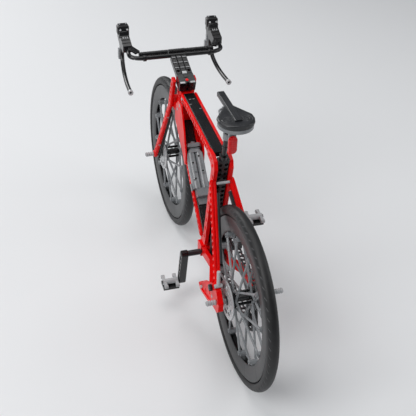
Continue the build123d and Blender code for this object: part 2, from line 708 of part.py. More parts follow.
def stem():
    """Rear block and three grooved columns that reach forward to the bar."""
    pieces = []
    block = Pos(-4.6, 0, (STEM_LOW + STEM_HIGH) / 2) * Box(20, 23.4, STEM_HIGH - STEM_LOW)
    block = chamfer(block.edges().filter_by(Axis.Y), 0.8)
    for side in SIDES:
        block -= Pos(-14.8, side * 7.8, STEM_LOW + 6) * Box(1.6, 5.6, 9)
    block -= Pos(-13.8, 0, STEM_HIGH - 7) * Box(3.2, 3.4, 15)
    block -= Pos(0, 0, 180) * Cylinder(AXLE_R + 0.02, 60)
    block -= Pos(STEM_PIN_FORWARD, 0, STEM_HIGH - 6.2) * Cylinder(AXLE_R + 0.02, 10, align=RISING)
    pieces.append(STEER_PLACE * block)
    for lane in (-1, 0, 1):
        column = Pos(24.1, lane * 7.85, STEM_HIGH - 4.4) * Box(36.6, 7.5, 8.2)
        column = chamfer(column.edges().filter_by(Axis.X), 0.7)
        for foot in (12.5, 23.0, 33.5):
            column -= Pos(foot, lane * 7.85, STEM_HIGH) * Box(7.5, 2.6, 1.6)
        if lane:
            column -= Pos(11.5, lane * 7.85, STEM_HIGH) * Cylinder(HOLE_R, 40)
        pieces.append(STEER_PLACE * column)
    return pieces


def handlebar():
    """Smooth tube across the stem whose ends turn forward into the hoods, and the two drops."""
    route = [spot(361, -HOOD_Y, 306), spot(BAR_X + 4, -HOOD_Y - 1.0, BAR_Z + 0.6),
             spot(BAR_X - 1, -HOOD_Y + 14, BAR_Z), spot(BAR_X - 1, HOOD_Y - 14, BAR_Z),
             spot(BAR_X + 4, HOOD_Y + 1.0, BAR_Z + 0.6), spot(361, HOOD_Y, 306)]
    tube = tube_along(route, (8.5, 8.0, 8.0, 8.5), BAR_TUBE_R)
    drops = []
    for side in SIDES:
        curve = [spot(383, side * HOOD_Y, 299.0), spot(391, side * (HOOD_Y + 1), 279),
                 spot(365, side * (HOOD_Y + 3), 262), spot(338, side * (HOOD_Y + 5), 257.5),
                 spot(309, side * (HOOD_Y + 6), 259.5)]
        drops.append(tube_along(curve, (12.0, 18.0, 30.0), BAR_TUBE_R))
    return [tube] + drops


def tube_along(points, radii, radius):
    """Round tube along straight runs joined by tangent arcs."""
    path = FilletPolyline(*points, radius=radii)
    section = Plane(origin=path @ 0, z_dir=path % 0) * Circle(radius)
    return sweep(section, path=path)


def bar_segments():
    """Ribbed sleeves along the front of the bar, and a flat ribbed pad over each of its corners."""
    centre = BAR_CENTRE + STEER_FORWARD * 6.5 + STEER_UP * 1.4
    made = [rod(centre - Vector(0, 12.2, 0), centre + Vector(0, 12.2, 0), 3.5)]
    for i in range(SLEEVE_COUNT):
        inner = 13.0 + SLEEVE_PITCH * i
        made += both_sides(rod(centre + Vector(0, inner, 0), centre + Vector(0, inner + 8.1, 0), SLEEVE_R))
    start, end = spot(333.5, 57, 307.6), spot(347.0, 65.0, 309.6)
    pad = rail(start, end, 8.4, 3.4, 0.8)
    place = Plane(origin=start, x_dir=sideways(end - start), z_dir=end - start).location
    ribs = [place * Pos(0, way * 1.9, run) * Box(10, 1.2, 1.0) for run in (4, 8, 12) for way in SIDES]
    return made + both_sides(pad - ribs)


def bar_end_caps():
    """Light rings on the ends of the drops."""
    caps = []
    for side in SIDES:
        end = spot(309, side * (HOOD_Y + 6), 259.5)
        back = (end - spot(338, side * (HOOD_Y + 5), 257.5)).normalized()
        ring = rod(end + back * 0.05, end + back * 4.0, 3.9) - rod(end, end + back * 6.0, 1.9)
        caps.append(ring)
    return caps


def brake_hood():
    """Left hood: stepped dark block with cross ribs, which the lever hangs from."""
    points = side_points((350, 300.5), (376, 300.5), (384, 305), (391, 309), (392, 324), (387, 331),
                         (378, 330), (370, 318), (350, 311))
    body = plate(points, HOOD_Y - HOOD_HALF_WIDTH, HOOD_Y + HOOD_HALF_WIDTH, 1.6)
    for x, z in ((356, 313.6), (362, 315.6), (368, 317.6)):
        body -= Pos(REAR_X + x, HOOD_Y, z) * Rot(0, -20, 0) * Box(1.2, 20, 2.4)
    body -= Pos(REAR_X + 389, HOOD_Y, 312) * Box(12, 5.4, 14)
    body -= handlebar()
    pivot = rod(spot(*LEVER_PIVOT) - Vector(0, 6.4, 0), spot(*LEVER_PIVOT) + Vector(0, 6.4, 0), 1.5)
    return body + pivot


def brake_lever():
    """Left lever: slim light blade that swings on the hood's cross pin, ending in a paddle."""
    x, y, z = LEVER_PIVOT
    eye = rod(spot(x, y - 2.3, z), spot(x, y + 2.3, z), 3.0)
    points = side_points((x - 2, z + 2), (x + 8, z + 1), (x + 14, z - 6), (x + 16, z - 22),
                         (x + 15.5, z - 45), (x + 12, z - 46), (x + 10.5, z - 22), (x + 8, z - 8),
                         (x - 2, z - 2.4))
    blade = plate(points, y - 1.6, y + 1.6, 1.2)
    paddle = plate(side_points((x + 11.0, z - 30), (x + 16.6, z - 30), (x + 17.5, z - 46), (x + 13, z - 48),
                               (x + 10.5, z - 45)), y - 3.8, y + 3.8, 1.2)
    lever = blade + eye + paddle
    return lever - rod(spot(x, y - 9, z), spot(x, y + 9, z), 1.55)


# ---------------------------------------------------------------- saddle, reflector and bottle
def saddle_nose():
    """Long narrow beam from the saddle's nose to its middle, ribbed at the tip."""
    beam = Pos(REAR_X + 91, 0, SADDLE_Z + 4.6) * Box(70, 9.4, 6.6)
    beam = fillet(beam.edges().filter_by(Axis.X), 1.6)
    for x in (116, 119.5, 123):
        beam -= Pos(REAR_X + x, 0, SADDLE_Z + 8.1) * Box(0.8, 12, 1.4)
    return Pos(0, 0, 0.6) * beam


def saddle_wings():
    """Two wings that flare behind the nose and round off at the rear."""
    left = make_face(Polyline((REAR_X + 97, 4.85), (REAR_X + 84, 14.0), (REAR_X + 72, 22.4),
                              (REAR_X + 63, 22.6))
                     + ThreePointArc((REAR_X + 63, 22.6), (REAR_X + 49.5, 16.5), (REAR_X + 45, 4.85))
                     + Line((REAR_X + 45, 4.85), (REAR_X + 97, 4.85)))
    wing = extrude(Pos(0, 0, SADDLE_Z) * left, amount=6.4)
    wing = fillet(wing.faces().sort_by(Axis.Z)[-1].edges(), 1.4)
    arc_cut = extrude(Pos(REAR_X + 62, 12.5, SADDLE_Z + 6.0) * (Circle(6.6) - Circle(6.0)), amount=2)
    wing -= arc_cut
    tail = Pos(REAR_X + 50.4, 0, SADDLE_Z + 3.2) * Box(10.6, 9.5, 6.2)
    return both_sides(wing) + [tail]


def saddle_underframe():
    """Light crescent under the wings, its cross block on the post and two bent rails."""
    crescent = make_face(ThreePointArc((REAR_X + 70, 21.6), (REAR_X + 44, 0), (REAR_X + 70, -21.6))
                         + Line((REAR_X + 70, -21.6), (REAR_X + 66, -17))
                         + ThreePointArc((REAR_X + 66, -17), (REAR_X + 50, 0), (REAR_X + 66, 17))
                         + Line((REAR_X + 66, 17), (REAR_X + 70, 21.6)))
    rim = extrude(Pos(0, 0, SADDLE_Z - 4.6) * crescent, amount=4.5)
    block = Pos(REAR_X + 82, 0, SADDLE_Z - 2.4) * Box(44, 10, 4.6)
    block -= rod(SEAT_KNEE, SEAT_KNEE + SEAT_LINE * 90, 3.4)
    links = [Pos(REAR_X + 62.5, side * 13.8, SADDLE_Z - 2.4) * Box(6, 8, 4.4) for side in SIDES]
    rails = []
    for side in SIDES:
        curve = [spot(103, side * 4.4, SADDLE_Z - 2.4), spot(101, side * 9.5, SADDLE_Z - 3.2),
                 spot(84, side * 11.4, SADDLE_Z - 7.6), spot(70, side * 14.5, SADDLE_Z - 5.0)]
        rails.append(tube_along(curve, (3.0, 5.0), 1.3) - block)
    bridge = Pos(REAR_X + 62, 0, SADDLE_Z - 2.4) * Box(5.6, 20, 4.4)
    frame = rim + block + links + [bridge]
    return [frame] + [piece - frame for piece in rails]


def reflector_bracket():
    """Light bracket from the seat post back to the reflector."""
    arm = rod(spot(90, 0, 306), spot(74.4, 0, 306), 2.0)
    clamp = rod(spot(92.5, 0, 302), spot(91.4, 0, 310), 5.4)
    back = Pos(REAR_X + 73.6, 0, 307) * Box(2.2, 9.0, 24)
    tab = Pos(REAR_X + 76, 0, 318.4) * Box(7, 7, 5)
    post_hole = rod(SEAT_KNEE, SEAT_KNEE + SEAT_LINE * 80, 3.95)
    return arm + clamp + back + tab - post_hole


def reflector_lens():
    """Oval red lens facing the rear."""
    place = Plane(origin=spot(72.4, 0, REFLECTOR_Z), x_dir=ACROSS, z_dir=(-1, 0, 0))
    lens = extrude(place * SlotOverall(25, 11.6, 90), amount=3.2)
    return fillet(lens.faces().sort_by(Axis.X)[0].edges(), 1.2)


def bottle_body():
    """Bottle on the down tube: a flat back with two half-round columns in front."""
    place = DOWN_PLACE * Pos(0, 0, BOTTLE_START)
    outline = Pos(0, 7.6) * Rectangle(23.4, 6.0)
    for x in (-5.9, 5.9):
        outline += Pos(x, 10.6) * Circle(5.8)
    body = extrude(outline, amount=BOTTLE_LENGTH)
    for x, height in ((-6.6, 20), (4.6, 23), (7.6, 12)):
        body -= Pos(x, 16.4, height) * Box(3.2, 3.0, 1.8)
    return place * body


def bottle_cap():
    """Stepped, domed cap of the bottle."""
    place = DOWN_PLACE * Pos(0, 0, BOTTLE_START + BOTTLE_LENGTH + 0.1)
    shoulder = loft([RectangleRounded(22.5, 11.6, 5.6), Pos(0, 0, 5.5) * RectangleRounded(16, 9.5, 4.5)])
    band = Pos(0, 0, 5.5) * extrude(RectangleRounded(20.0, 10.8, 5), amount=3.2)
    dome = extrude(RectangleRounded(23.0, 11.8, 5.7), amount=6.0)
    dome = Pos(0, 0, 8.7) * fillet(dome.faces().sort_by(Axis.Z)[-1].edges(), 2.4)
    tip = Pos(0, 0, 14.7) * Cylinder(3.4, 2.0, align=RISING)
    return place * Pos(0, 10.6, 0) * (shoulder + band + dome + tip)


def bottle_base():
    """Cage block that holds the foot of the bottle to the down tube."""
    place = DOWN_PLACE * Pos(0, 0, BOTTLE_START)
    block = Pos(0, 10.6, -6.2) * Box(17, 11.6, 12)
    block = chamfer(block.edges().filter_by(Axis.X), 0.8)
    foot = Pos(0, 3.9 + 1.2, -16) * Box(13, 2.4, 12)
    side_clips = [Pos(x, 6.2, 4) * Box(1.6, 5.2, 10) for x in (-12.6, 12.6)]
    return [place * (block + foot)] + [place * clip for clip in side_clips]


# ---------------------------------------------------------------- cranks and pedals
def crank_arms():
    """Two thick dark arms with round ends, and the pedal axles fixed in them.

    They turn outside the dropouts, whose tongues reach into the circle that the arms sweep.
    """
    arms = []
    for side in SIDES:
        start = spot(CRANK_X, side * CRANK_ARM_Y, CRANK_Z)
        end = spot(CRANK_X + side * CRANK_DX, side * CRANK_ARM_Y, CRANK_Z + side * CRANK_DZ)
        arm = liftarm(start, end, CRANK_ARM_THICK, 11.0, 0.9)
        arm -= rod(start - Vector(0, 9, 0), start + Vector(0, 9, 0), AXLE_R + 0.02)
        plug = rod(end - Vector(0, 3.0, 0), end + Vector(0, 3.0, 0), HOLE_R + 0.2)
        pedal_end = PEDAL_Y + PEDAL_LENGTH / 2 + 1.5 - CRANK_ARM_Y
        pedal_axle = rod(end - Vector(0, side * 3.0, 0), end + Vector(0, side * pedal_end, 0), AXLE_R)
        arms.append(arm + plug + pedal_axle)
    return arms


def crank_axle():
    """Axle through the bottom bracket, with the ring's carrier on its right."""
    reach = CRANK_ARM_Y + CRANK_ARM_THICK / 2 + 0.3
    inner = CRANK_ARM_Y - CRANK_ARM_THICK / 2
    axle = rod(spot(CRANK_X, -reach, CRANK_Z), spot(CRANK_X, reach, CRANK_Z), AXLE_R)
    carrier = rod(spot(CRANK_X, 0.3 - inner, CRANK_Z), spot(CRANK_X, -21.3, CRANK_Z), 6.0)
    collar = rod(spot(CRANK_X, 16.0, CRANK_Z), spot(CRANK_X, inner - 0.3, CRANK_Z), 4.2)
    return axle + carrier + collar


def chainring():
    """Spoked chain wheel."""
    ring = toothed_disc(RING_TEETH, 2.4, AXLE_R + 0.02)
    window = extrude(SlotArc(CenterArc((0, 0), 19.0, 0, 26), 9.5), amount=3, both=True)
    ring -= [Rot(0, 0, 72 * i) * window for i in range(5)]
    return lying_across(ring, REAR_X + CRANK_X, CHAIN_Y, CRANK_Z)


def pedal(side):
    """Light pedal cage that spins on its axle, and the dark pad clipped under it."""
    sleeve = Cylinder(4.2, PEDAL_LENGTH)
    for y in (-8.4, 8.4):
        bar = Pos(0, 0, y) * Box(25, 5.0, 4.0)
        grips = [Pos(x, 0, y) * Cylinder(2.6, 5.0) for x in (-11.2, 11.2)]
        sleeve += bar
        sleeve += grips
    sleeve -= Cylinder(BORE_R, 40)
    pad = Pos(0, 6.7, 0) * Box(17, 4.6, 23) - Cylinder(4.25, 60) - sleeve
    x = REAR_X + CRANK_X + side * CRANK_DX
    z = CRANK_Z + side * CRANK_DZ
    return (lying_across(sleeve, x, side * PEDAL_Y, z), lying_across(pad, x, side * PEDAL_Y, z))


# ---------------------------------------------------------------- axles
def axle_set(x, low, high, peg_length):
    """Axle with a ribbed peg on each end, reaching from low to high across the bicycle."""
    axle = rod(Vector(x, low + 1.6, AXLE_Z), Vector(x, high - 1.6, AXLE_Z), AXLE_R)
    right = lying_across(ribbed_peg(peg_length, PEG_R), x, low, AXLE_Z)
    left = lying_across(ribbed_peg(peg_length, PEG_R), x, high - peg_length, AXLE_Z)
    return [axle, right, left]


# ---------------------------------------------------------------- assembly
def assemble():
    """Every node of the bicycle: name to list of solids."""
    parts = {}
    wheel("rear", REAR_X, REAR_ROTOR_Y, CHAIN_Y + 1.25, parts)
    wheel("front", FRONT_X, FRONT_ROTOR_Y, -14.0, parts)
    parts["rear_sprocket"] = [lying_across(sprocket(), REAR_X, CHAIN_Y, AXLE_Z)]
    parts["rear_axle"] = axle_set(REAR_X, REAR_PEG_RIGHT_Y, REAR_PEG_LEFT_Y, PEG_LENGTH)
    parts["front_axle"] = axle_set(FRONT_X, -FRONT_PEG_Y, FRONT_PEG_Y, PEG_LENGTH - 0.2)
    parts["chain"] = chain()
    parts["derailleur"] = derailleur()
    parts["pulley_upper"] = [lying_across(pulley(), REAR_X + GUIDE_PULLEY[0], CHAIN_Y, GUIDE_PULLEY[1])]
    parts["pulley_lower"] = [lying_across(pulley(), REAR_X + TENSION_PULLEY[0], CHAIN_Y,
                                          TENSION_PULLEY[1])]
    head = head_tube()
    lug = head_lug() - head
    plates = seat_tube_plates()
    dropouts = both_sides(dropout())
    shell = bottom_bracket_shell()
    core = seat_tube_core()
    cover = top_tube_cover() - lug - core
    panel = down_tube_panel() - lug - shell
    top_rails = top_tube_rails(plates)
    down_rails = down_tube_rails(shell)
    parts["head_tube"] = [head, lug]
    parts["top_tube_rails"] = top_rails
    parts["top_tube_cover"] = [cover]
    parts["down_tube_rails"] = down_rails
    parts["down_tube_panel"] = [panel]
    parts["head_gussets"] = head_gussets([])
    parts["seat_tube_core"] = [core - shell]
    parts["seat_tube_plates"] = [part - shell for part in plates]
    parts["seat_post"] = [seat_post() - core]
    parts["seat_stays"] = seat_stays(dropouts + plates)
    parts["seat_stay_inner_bars"] = seat_stay_inner_bars()
    parts["chainstays"] = [trimmed(part, dropouts + [shell]) for part in both_sides(chainstay())]
    parts["dropouts"] = dropouts
    parts["bottom_bracket_shell"] = [shell]
    parts["frame_pins"] = [trimmed(pin, parts["seat_stays"]) for pin in frame_pins()]
    parts["frame_pins"].append(trimmed(brake_connector(), parts["seat_stays"] + dropouts))
    parts["steerer"] = [steerer(), stem_pin()]
    parts["fork_crown"] = [fork_crown_block()]
    parts["fork_outer_blades"] = both_sides(fork_outer_blade())
    parts["fork_inner_blades"] = both_sides(fork_inner_blade())
    parts["stem"] = stem()
    parts["handlebar"] = handlebar()
    parts["bar_segments"] = bar_segments()
    parts["bar_end_caps"] = bar_end_caps()
    parts["brake_hoods"] = both_sides(brake_hood())
    lever = brake_lever()
    parts["brake_lever_left"] = [lever]
    parts["brake_lever_right"] = [mirrored(lever)]
    parts["saddle_nose"] = [saddle_nose()]
    parts["saddle_wings"] = saddle_wings()
    parts["saddle_underframe"] = saddle_underframe()
    parts["reflector_bracket"] = [reflector_bracket()]
    parts["reflector_lens"] = [reflector_lens()]
    parts["bottle_body"] = [bottle_body()]
    parts["bottle_cap"] = [bottle_cap()]
    parts["bottle_base"] = bottle_base()
    parts["crank_arms"] = crank_arms()
    parts["crank_axle"] = [crank_axle()]
    parts["chainring"] = [chainring()]
    for name, side in (("left", 1), ("right", -1)):
        cage, pad = pedal(side)
        parts["pedal_" + name + "_cage"] = [cage]
        parts["pedal_" + name + "_pad"] = [pad]
    return parts


def flat_solids(shapes):
    """Every solid in a nest of shapes."""
    found = []
    for shape in shapes:
        found += shape.solids()
    return found


os.makedirs("parts", exist_ok=True)
for node, shapes in assemble().items():
    solids = flat_solids(shapes)
    export_step(Compound(children=solids), f"parts/{node}.step")
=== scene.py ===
# %% [markdown]
# A brick-built model of a road bicycle, finished in Blender.
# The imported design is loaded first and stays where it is: it gives every place and size below.
# Pieces whose surface matters most are then rebuilt as smooth surfaces worked out with numpy, and every
# other piece keeps its designed shape and gets a proper moulded plastic finish.

# %% Load the frame
import json
import math

import bmesh
import bpy
import numpy as np
from mathutils import Matrix, Vector


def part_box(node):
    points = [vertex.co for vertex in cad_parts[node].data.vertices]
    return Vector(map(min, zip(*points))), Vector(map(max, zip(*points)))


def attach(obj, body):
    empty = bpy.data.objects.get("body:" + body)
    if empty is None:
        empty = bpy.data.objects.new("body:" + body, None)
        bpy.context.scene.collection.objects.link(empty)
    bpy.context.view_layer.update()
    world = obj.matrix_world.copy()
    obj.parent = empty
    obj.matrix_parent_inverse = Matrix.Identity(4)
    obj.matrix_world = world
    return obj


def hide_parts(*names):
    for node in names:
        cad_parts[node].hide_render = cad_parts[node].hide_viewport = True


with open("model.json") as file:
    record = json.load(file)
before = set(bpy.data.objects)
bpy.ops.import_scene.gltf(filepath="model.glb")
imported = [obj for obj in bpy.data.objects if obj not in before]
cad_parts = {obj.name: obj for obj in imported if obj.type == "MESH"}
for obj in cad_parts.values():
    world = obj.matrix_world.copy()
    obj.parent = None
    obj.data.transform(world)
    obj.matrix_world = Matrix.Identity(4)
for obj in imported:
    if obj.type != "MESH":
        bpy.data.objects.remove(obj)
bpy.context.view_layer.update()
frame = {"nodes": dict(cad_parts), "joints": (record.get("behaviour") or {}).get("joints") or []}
nodes = frame["nodes"]
joints = {joint["name"]: joint for joint in frame["joints"]}

# %% [markdown]
# Lengths are easier to read in millimetres, which is how the bricks are measured. One module is 8 mm:
# beams are a module wide, pins sit a module apart, and wheel centres lie on whole modules.

# %% Scale and the wheels' places
MM = 0.001
ACROSS = np.array([0.0, 1.0, 0.0])
TWO_PI = 2 * math.pi


def middle(node):
    """Centre of a designed node's box."""
    low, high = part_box(node)
    return np.array((low + high) / 2)


wheel_centres = {end: middle(end + "_tyre") * [1, 0, 1] for end in ("front", "rear")}
tyre_low, tyre_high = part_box("rear_tyre")
TYRE_R = (tyre_high.z - tyre_low.z) / 2
TYRE_HALF = tyre_high.y
print("wheel radius", round(TYRE_R, 4), "wheelbase", wheel_centres["front"][0] - wheel_centres["rear"][0])

# %% [markdown]
# A few small helpers make every new surface. A grid of points becomes a mesh of quads, a closed section is
# carried along a path, and the finished mesh is handed to the body that it moves with.

# %% Helpers for surfaces


def grid_quads(rows, columns, wrap_rows=False, wrap_columns=True):
    """Corner numbers of the quads that join a rows x columns grid of points."""
    row = np.arange(rows if wrap_rows else rows - 1)
    column = np.arange(columns if wrap_columns else columns - 1)
    r, c = np.meshgrid(row, column, indexing="ij")
    r2, c2 = (r + 1) % rows, (c + 1) % columns
    quads = np.stack([r * columns + c, r * columns + c2, r2 * columns + c2, r2 * columns + c], axis=-1)
    return quads.reshape(-1, 4)


def make_piece(name, points, faces, finish, body, replaced=(), smooth_angle=40.0):
    """Mesh object from metres and faces, its faces turned outward, given a finish and a body to ride on."""
    mesh = bpy.data.meshes.new(name)
    mesh.from_pydata(points.tolist(), [], [list(map(int, face)) for face in faces])
    mesh.validate()
    mesh.materials.append(finish)
    piece = bpy.data.objects.new(name, mesh)
    bpy.context.scene.collection.objects.link(piece)
    outward(mesh)
    mesh.shade_smooth()
    mesh.set_sharp_from_angle(angle=math.radians(smooth_angle))
    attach(piece, body)
    if replaced:
        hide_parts(*replaced)
    print(name, "faces", len(faces))
    return piece


def outward(mesh):
    """Recalculate the normals of a closed mesh so that its faces look outward."""
    work = bmesh.new()
    work.from_mesh(mesh)
    bmesh.ops.recalc_face_normals(work, faces=work.faces)
    work.to_mesh(mesh)
    work.free()


def carried(path, sections, closed_path=False):
    """Points of sections (n, m, 2) set square to a path (n, 3).

    The first section axis lies across the path and as near as it can to the bicycle's width, and the
    second is square to both.
    """
    if closed_path:
        ahead = np.roll(path, -1, axis=0) - np.roll(path, 1, axis=0)
    else:
        ahead = np.gradient(path, axis=0)
    ahead /= np.linalg.norm(ahead, axis=1, keepdims=True)
    reference = np.where(np.abs(ahead[:, 1:2]) > 0.9, [[0.0, 0.0, 1.0]], [[0.0, 1.0, 0.0]])
    side = reference - ahead * np.sum(reference * ahead, axis=1, keepdims=True)
    side /= np.linalg.norm(side, axis=1, keepdims=True)
    up = np.cross(ahead, side)
    return path[:, None] + side[:, None] * sections[..., :1] + up[:, None] * sections[..., 1:]


def capped(points):
    """Flat points and faces of a tube of rings (n, m, 3), its two ends closed with fans."""
    n, m, _ = points.shape
    middles = [points[0].mean(axis=0), points[-1].mean(axis=0)]
    flat = np.concatenate([points.reshape(-1, 3), middles])
    ring = np.arange(m)
    first = np.stack([ring, np.roll(ring, -1), np.full(m, n * m)], axis=-1)
    last = np.stack([(n - 1) * m + ring, np.full(m, n * m + 1), (n - 1) * m + np.roll(ring, -1)], axis=-1)
    return flat, [*grid_quads(n, m).tolist(), *first.tolist(), *last.tolist()]


def joined(parts):
    """Several (points, faces) pairs as one."""
    points, faces, start = [], [], 0
    for part_points, part_faces in parts:
        points.append(part_points)
        faces += [[corner + start for corner in face] for face in part_faces]
        start += len(part_points)
    return np.concatenate(points), faces


def circle(sides):
    """Unit circle as (sides, 2) points."""
    turn = np.arange(sides) / sides * TWO_PI
    return np.stack([np.cos(turn), np.sin(turn)], axis=-1)


def turned_bar(start, end, stations, radii, sides=20):
    """Bar turned on a lathe: at each station, a share of the way from start to end, it has that radius."""
    start, end = np.asarray(start, float), np.asarray(end, float)
    path = start + (end - start) * np.asarray(stations, float)[:, None]
    line = end - start
    ahead = line / np.linalg.norm(line)
    reference = np.array([0.0, 0.0, 1.0]) if abs(ahead[1]) > 0.9 else ACROSS
    side = reference - ahead * (reference @ ahead)
    side /= np.linalg.norm(side)
    up = np.cross(ahead, side)
    ring = circle(sides) @ np.stack([side, up])
    points = path[:, None] + ring[None] * np.asarray(radii, float)[:, None, None]
    return capped(points)


def rounded(points, rounds=2, closed=True):
    """Corners of an outline cut a number of times: each edge keeps its middle half (Chaikin's rule)."""
    for _ in range(rounds):
        ahead = np.roll(points, -1, axis=0)
        cut = np.stack([points * 0.75 + ahead * 0.25, points * 0.25 + ahead * 0.75], axis=1)
        cut = cut.reshape(-1, points.shape[1])
        if not closed:
            cut = np.concatenate([points[:1], cut[:-2], points[-1:]])
        points = cut
    return points


print("a closed ring of 4 x 6 points has", len(grid_quads(4, 6, wrap_rows=True)), "quads")

# %% [markdown]
# Moulded plastic isn't one flat colour. The steel mould leaves a faint grain, the shine is a little uneven,
# and handling adds thin scratches. One node group works all that out from Object coordinates, and each
# plastic feeds it with its own values.

# %% Node group for moulded plastic


def add(tree, kind, **settings):
    """New node with some of its settings."""
    node = tree.nodes.new(kind)
    for key, value in settings.items():
        setattr(node, key, value)
    return node


def moulded_group():
    """Colour, roughness and height of a moulded surface, from mottling, scratches and fine grain."""
    tree = bpy.data.node_groups.new("moulded surface", "ShaderNodeTree")
    inputs = (
        ("Base", "NodeSocketColor", (0.5, 0.5, 0.5, 1)), ("Deep", "NodeSocketColor", (0.3, 0.3, 0.3, 1)),
        ("Mottle size", "NodeSocketFloat", 60.0), ("Grain size", "NodeSocketFloat", 2500.0),
        ("Low roughness", "NodeSocketFloat", 0.2), ("High roughness", "NodeSocketFloat", 0.35),
        ("Scratches", "NodeSocketFloat", 0.3),
    )
    for name, kind, value in inputs:
        tree.interface.new_socket(name, in_out="INPUT", socket_type=kind).default_value = value
    for name, kind in (("Color", "NodeSocketColor"), ("Roughness", "NodeSocketFloat"),
                       ("Height", "NodeSocketFloat")):
        tree.interface.new_socket(name, in_out="OUTPUT", socket_type=kind)
    given = add(tree, "NodeGroupInput")
    out = add(tree, "NodeGroupOutput")
    place = add(tree, "ShaderNodeTexCoord")
    link = tree.links.new
    mottle = add(tree, "ShaderNodeTexNoise")
    mottle.inputs["Detail"].default_value = 3
    link(place.outputs["Object"], mottle.inputs["Vector"])
    link(given.outputs["Mottle size"], mottle.inputs["Scale"])
    spread = add(tree, "ShaderNodeMapRange")
    spread.inputs["From Min"].default_value = 0.38
    spread.inputs["From Max"].default_value = 0.66
    link(mottle.outputs["Fac"], spread.inputs["Value"])
    colour = add(tree, "ShaderNodeMix", data_type="RGBA")
    link(spread.outputs["Result"], colour.inputs["Factor"])
    link(given.outputs["Base"], colour.inputs["A"])
    link(given.outputs["Deep"], colour.inputs["B"])
    stretch = add(tree, "ShaderNodeMapping")
    stretch.inputs["Scale"].default_value = (900, 120, 900)
    stretch.inputs["Rotation"].default_value = (0.3, 0.5, 0.2)
    link(place.outputs["Object"], stretch.inputs["Vector"])
    marks = add(tree, "ShaderNodeTexNoise")
    marks.inputs["Scale"].default_value = 1.0
    marks.inputs["Detail"].default_value = 4
    link(stretch.outputs["Vector"], marks.inputs["Vector"])
    thin = add(tree, "ShaderNodeMapRange")
    thin.inputs["From Min"].default_value = 0.62
    thin.inputs["From Max"].default_value = 0.72
    link(marks.outputs["Fac"], thin.inputs["Value"])
    amount = add(tree, "ShaderNodeMath", operation="MULTIPLY")
    link(thin.outputs["Result"], amount.inputs[0])
    link(given.outputs["Scratches"], amount.inputs[1])
    rough = add(tree, "ShaderNodeMapRange")
    link(mottle.outputs["Fac"], rough.inputs["Value"])
    link(given.outputs["Low roughness"], rough.inputs["To Min"])
    link(given.outputs["High roughness"], rough.inputs["To Max"])
    scratch_wear_and_nick_glint = add(tree, "ShaderNodeMath", operation="MULTIPLY_ADD")
    scratch_wear_and_nick_glint.inputs[1].default_value = 0.35
    link(amount.outputs["Value"], scratch_wear_and_nick_glint.inputs[0])
    link(rough.outputs["Result"], scratch_wear_and_nick_glint.inputs[2])
    grain = add(tree, "ShaderNodeTexNoise")
    link(place.outputs["Object"], grain.inputs["Vector"])
    link(given.outputs["Grain size"], grain.inputs["Scale"])
    height = add(tree, "ShaderNodeMath", operation="SUBTRACT")
    link(grain.outputs["Fac"], height.inputs[0])
    link(amount.outputs["Value"], height.inputs[1])
    link(colour.outputs["Result"], out.inputs["Color"])
    link(scratch_wear_and_nick_glint.outputs["Value"], out.inputs["Roughness"])
    link(height.outputs["Value"], out.inputs["Height"])
    return tree


MOULDED = moulded_group()
print(MOULDED.name, "nodes", len(MOULDED.nodes))

# %% [markdown]
# Every finish starts from the same parts: a material, the group above with its own values, and a bump that
# turns the group's height into a normal.

# %% Materials
PLASTIC_GRAIN = 2600.0
PLASTIC_BUMP = 0.05
PLASTIC_RELIEF = 0.1 * MM
PLASTIC_IOR = 1.53
EDGE_RADIUS = 0.35 * MM


def new_material(name):
    """Material, its node tree and its shader."""
    material = bpy.data.materials.new(name)
    material.use_nodes = True
    return material, material.node_tree, material.node_tree.nodes["Principled BSDF"]


def moulded_surface(tree, base, deep, mottle, grain, roughness, scratches):
    """The moulded group, placed in a material with that material's values."""
    surface = add(tree, "ShaderNodeGroup", node_tree=MOULDED)
    for socket, value in (("Base", (*base, 1)), ("Deep", (*deep, 1)), ("Mottle size", mottle),
                          ("Grain size", grain), ("Low roughness", roughness[0]),
                          ("High roughness", roughness[1]), ("Scratches", scratches)):
        surface.inputs[socket].default_value = value
    return surface


def bump_from(tree, shader, height, strength, distance):
    """Bump node that turns a height into the shader's normal."""
    bump = add(tree, "ShaderNodeBump")
    bump.inputs["Strength"].default_value = strength
    bump.inputs["Distance"].default_value = distance
    tree.links.new(height, bump.inputs["Height"])
    tree.links.new(bump.outputs["Normal"], shader.inputs["Normal"])
    return bump


def plastic(name, base, deep, roughness=(0.16, 0.3), scratches=0.25, mottle=55.0, shine=0.5):
    """A moulded plastic: the group's colour, shine and grain, with edges softened by a small radius."""
    material, tree, shader = new_material(name)
    surface = moulded_surface(tree, base, deep, mottle, PLASTIC_GRAIN, roughness, scratches)
    tree.links.new(surface.outputs["Color"], shader.inputs["Base Color"])
    tree.links.new(surface.outputs["Roughness"], shader.inputs["Roughness"])
    bump = bump_from(tree, shader, surface.outputs["Height"], PLASTIC_BUMP, PLASTIC_RELIEF)
    soft = add(tree, "ShaderNodeBevel", samples=4)
    soft.inputs["Radius"].default_value = EDGE_RADIUS
    tree.links.new(soft.outputs["Normal"], bump.inputs["Normal"])
    shader.inputs["IOR"].default_value = PLASTIC_IOR
    shader.inputs["Specular IOR Level"].default_value = shine
    return material


def paint(node, finish):
    """Give every material place of a designed node the same finish."""
    materials = nodes[node].data.materials
    for index in range(len(materials)):
        materials[index] = finish


print("edges softened by", EDGE_RADIUS / MM, "mm")

# %% [markdown]
# The bicycle is moulded in few colours: a bright signal red, glossy black, a dark bluish grey on rims and
# saddle, and a cool light grey on spokes, chain, bottle and pegs.

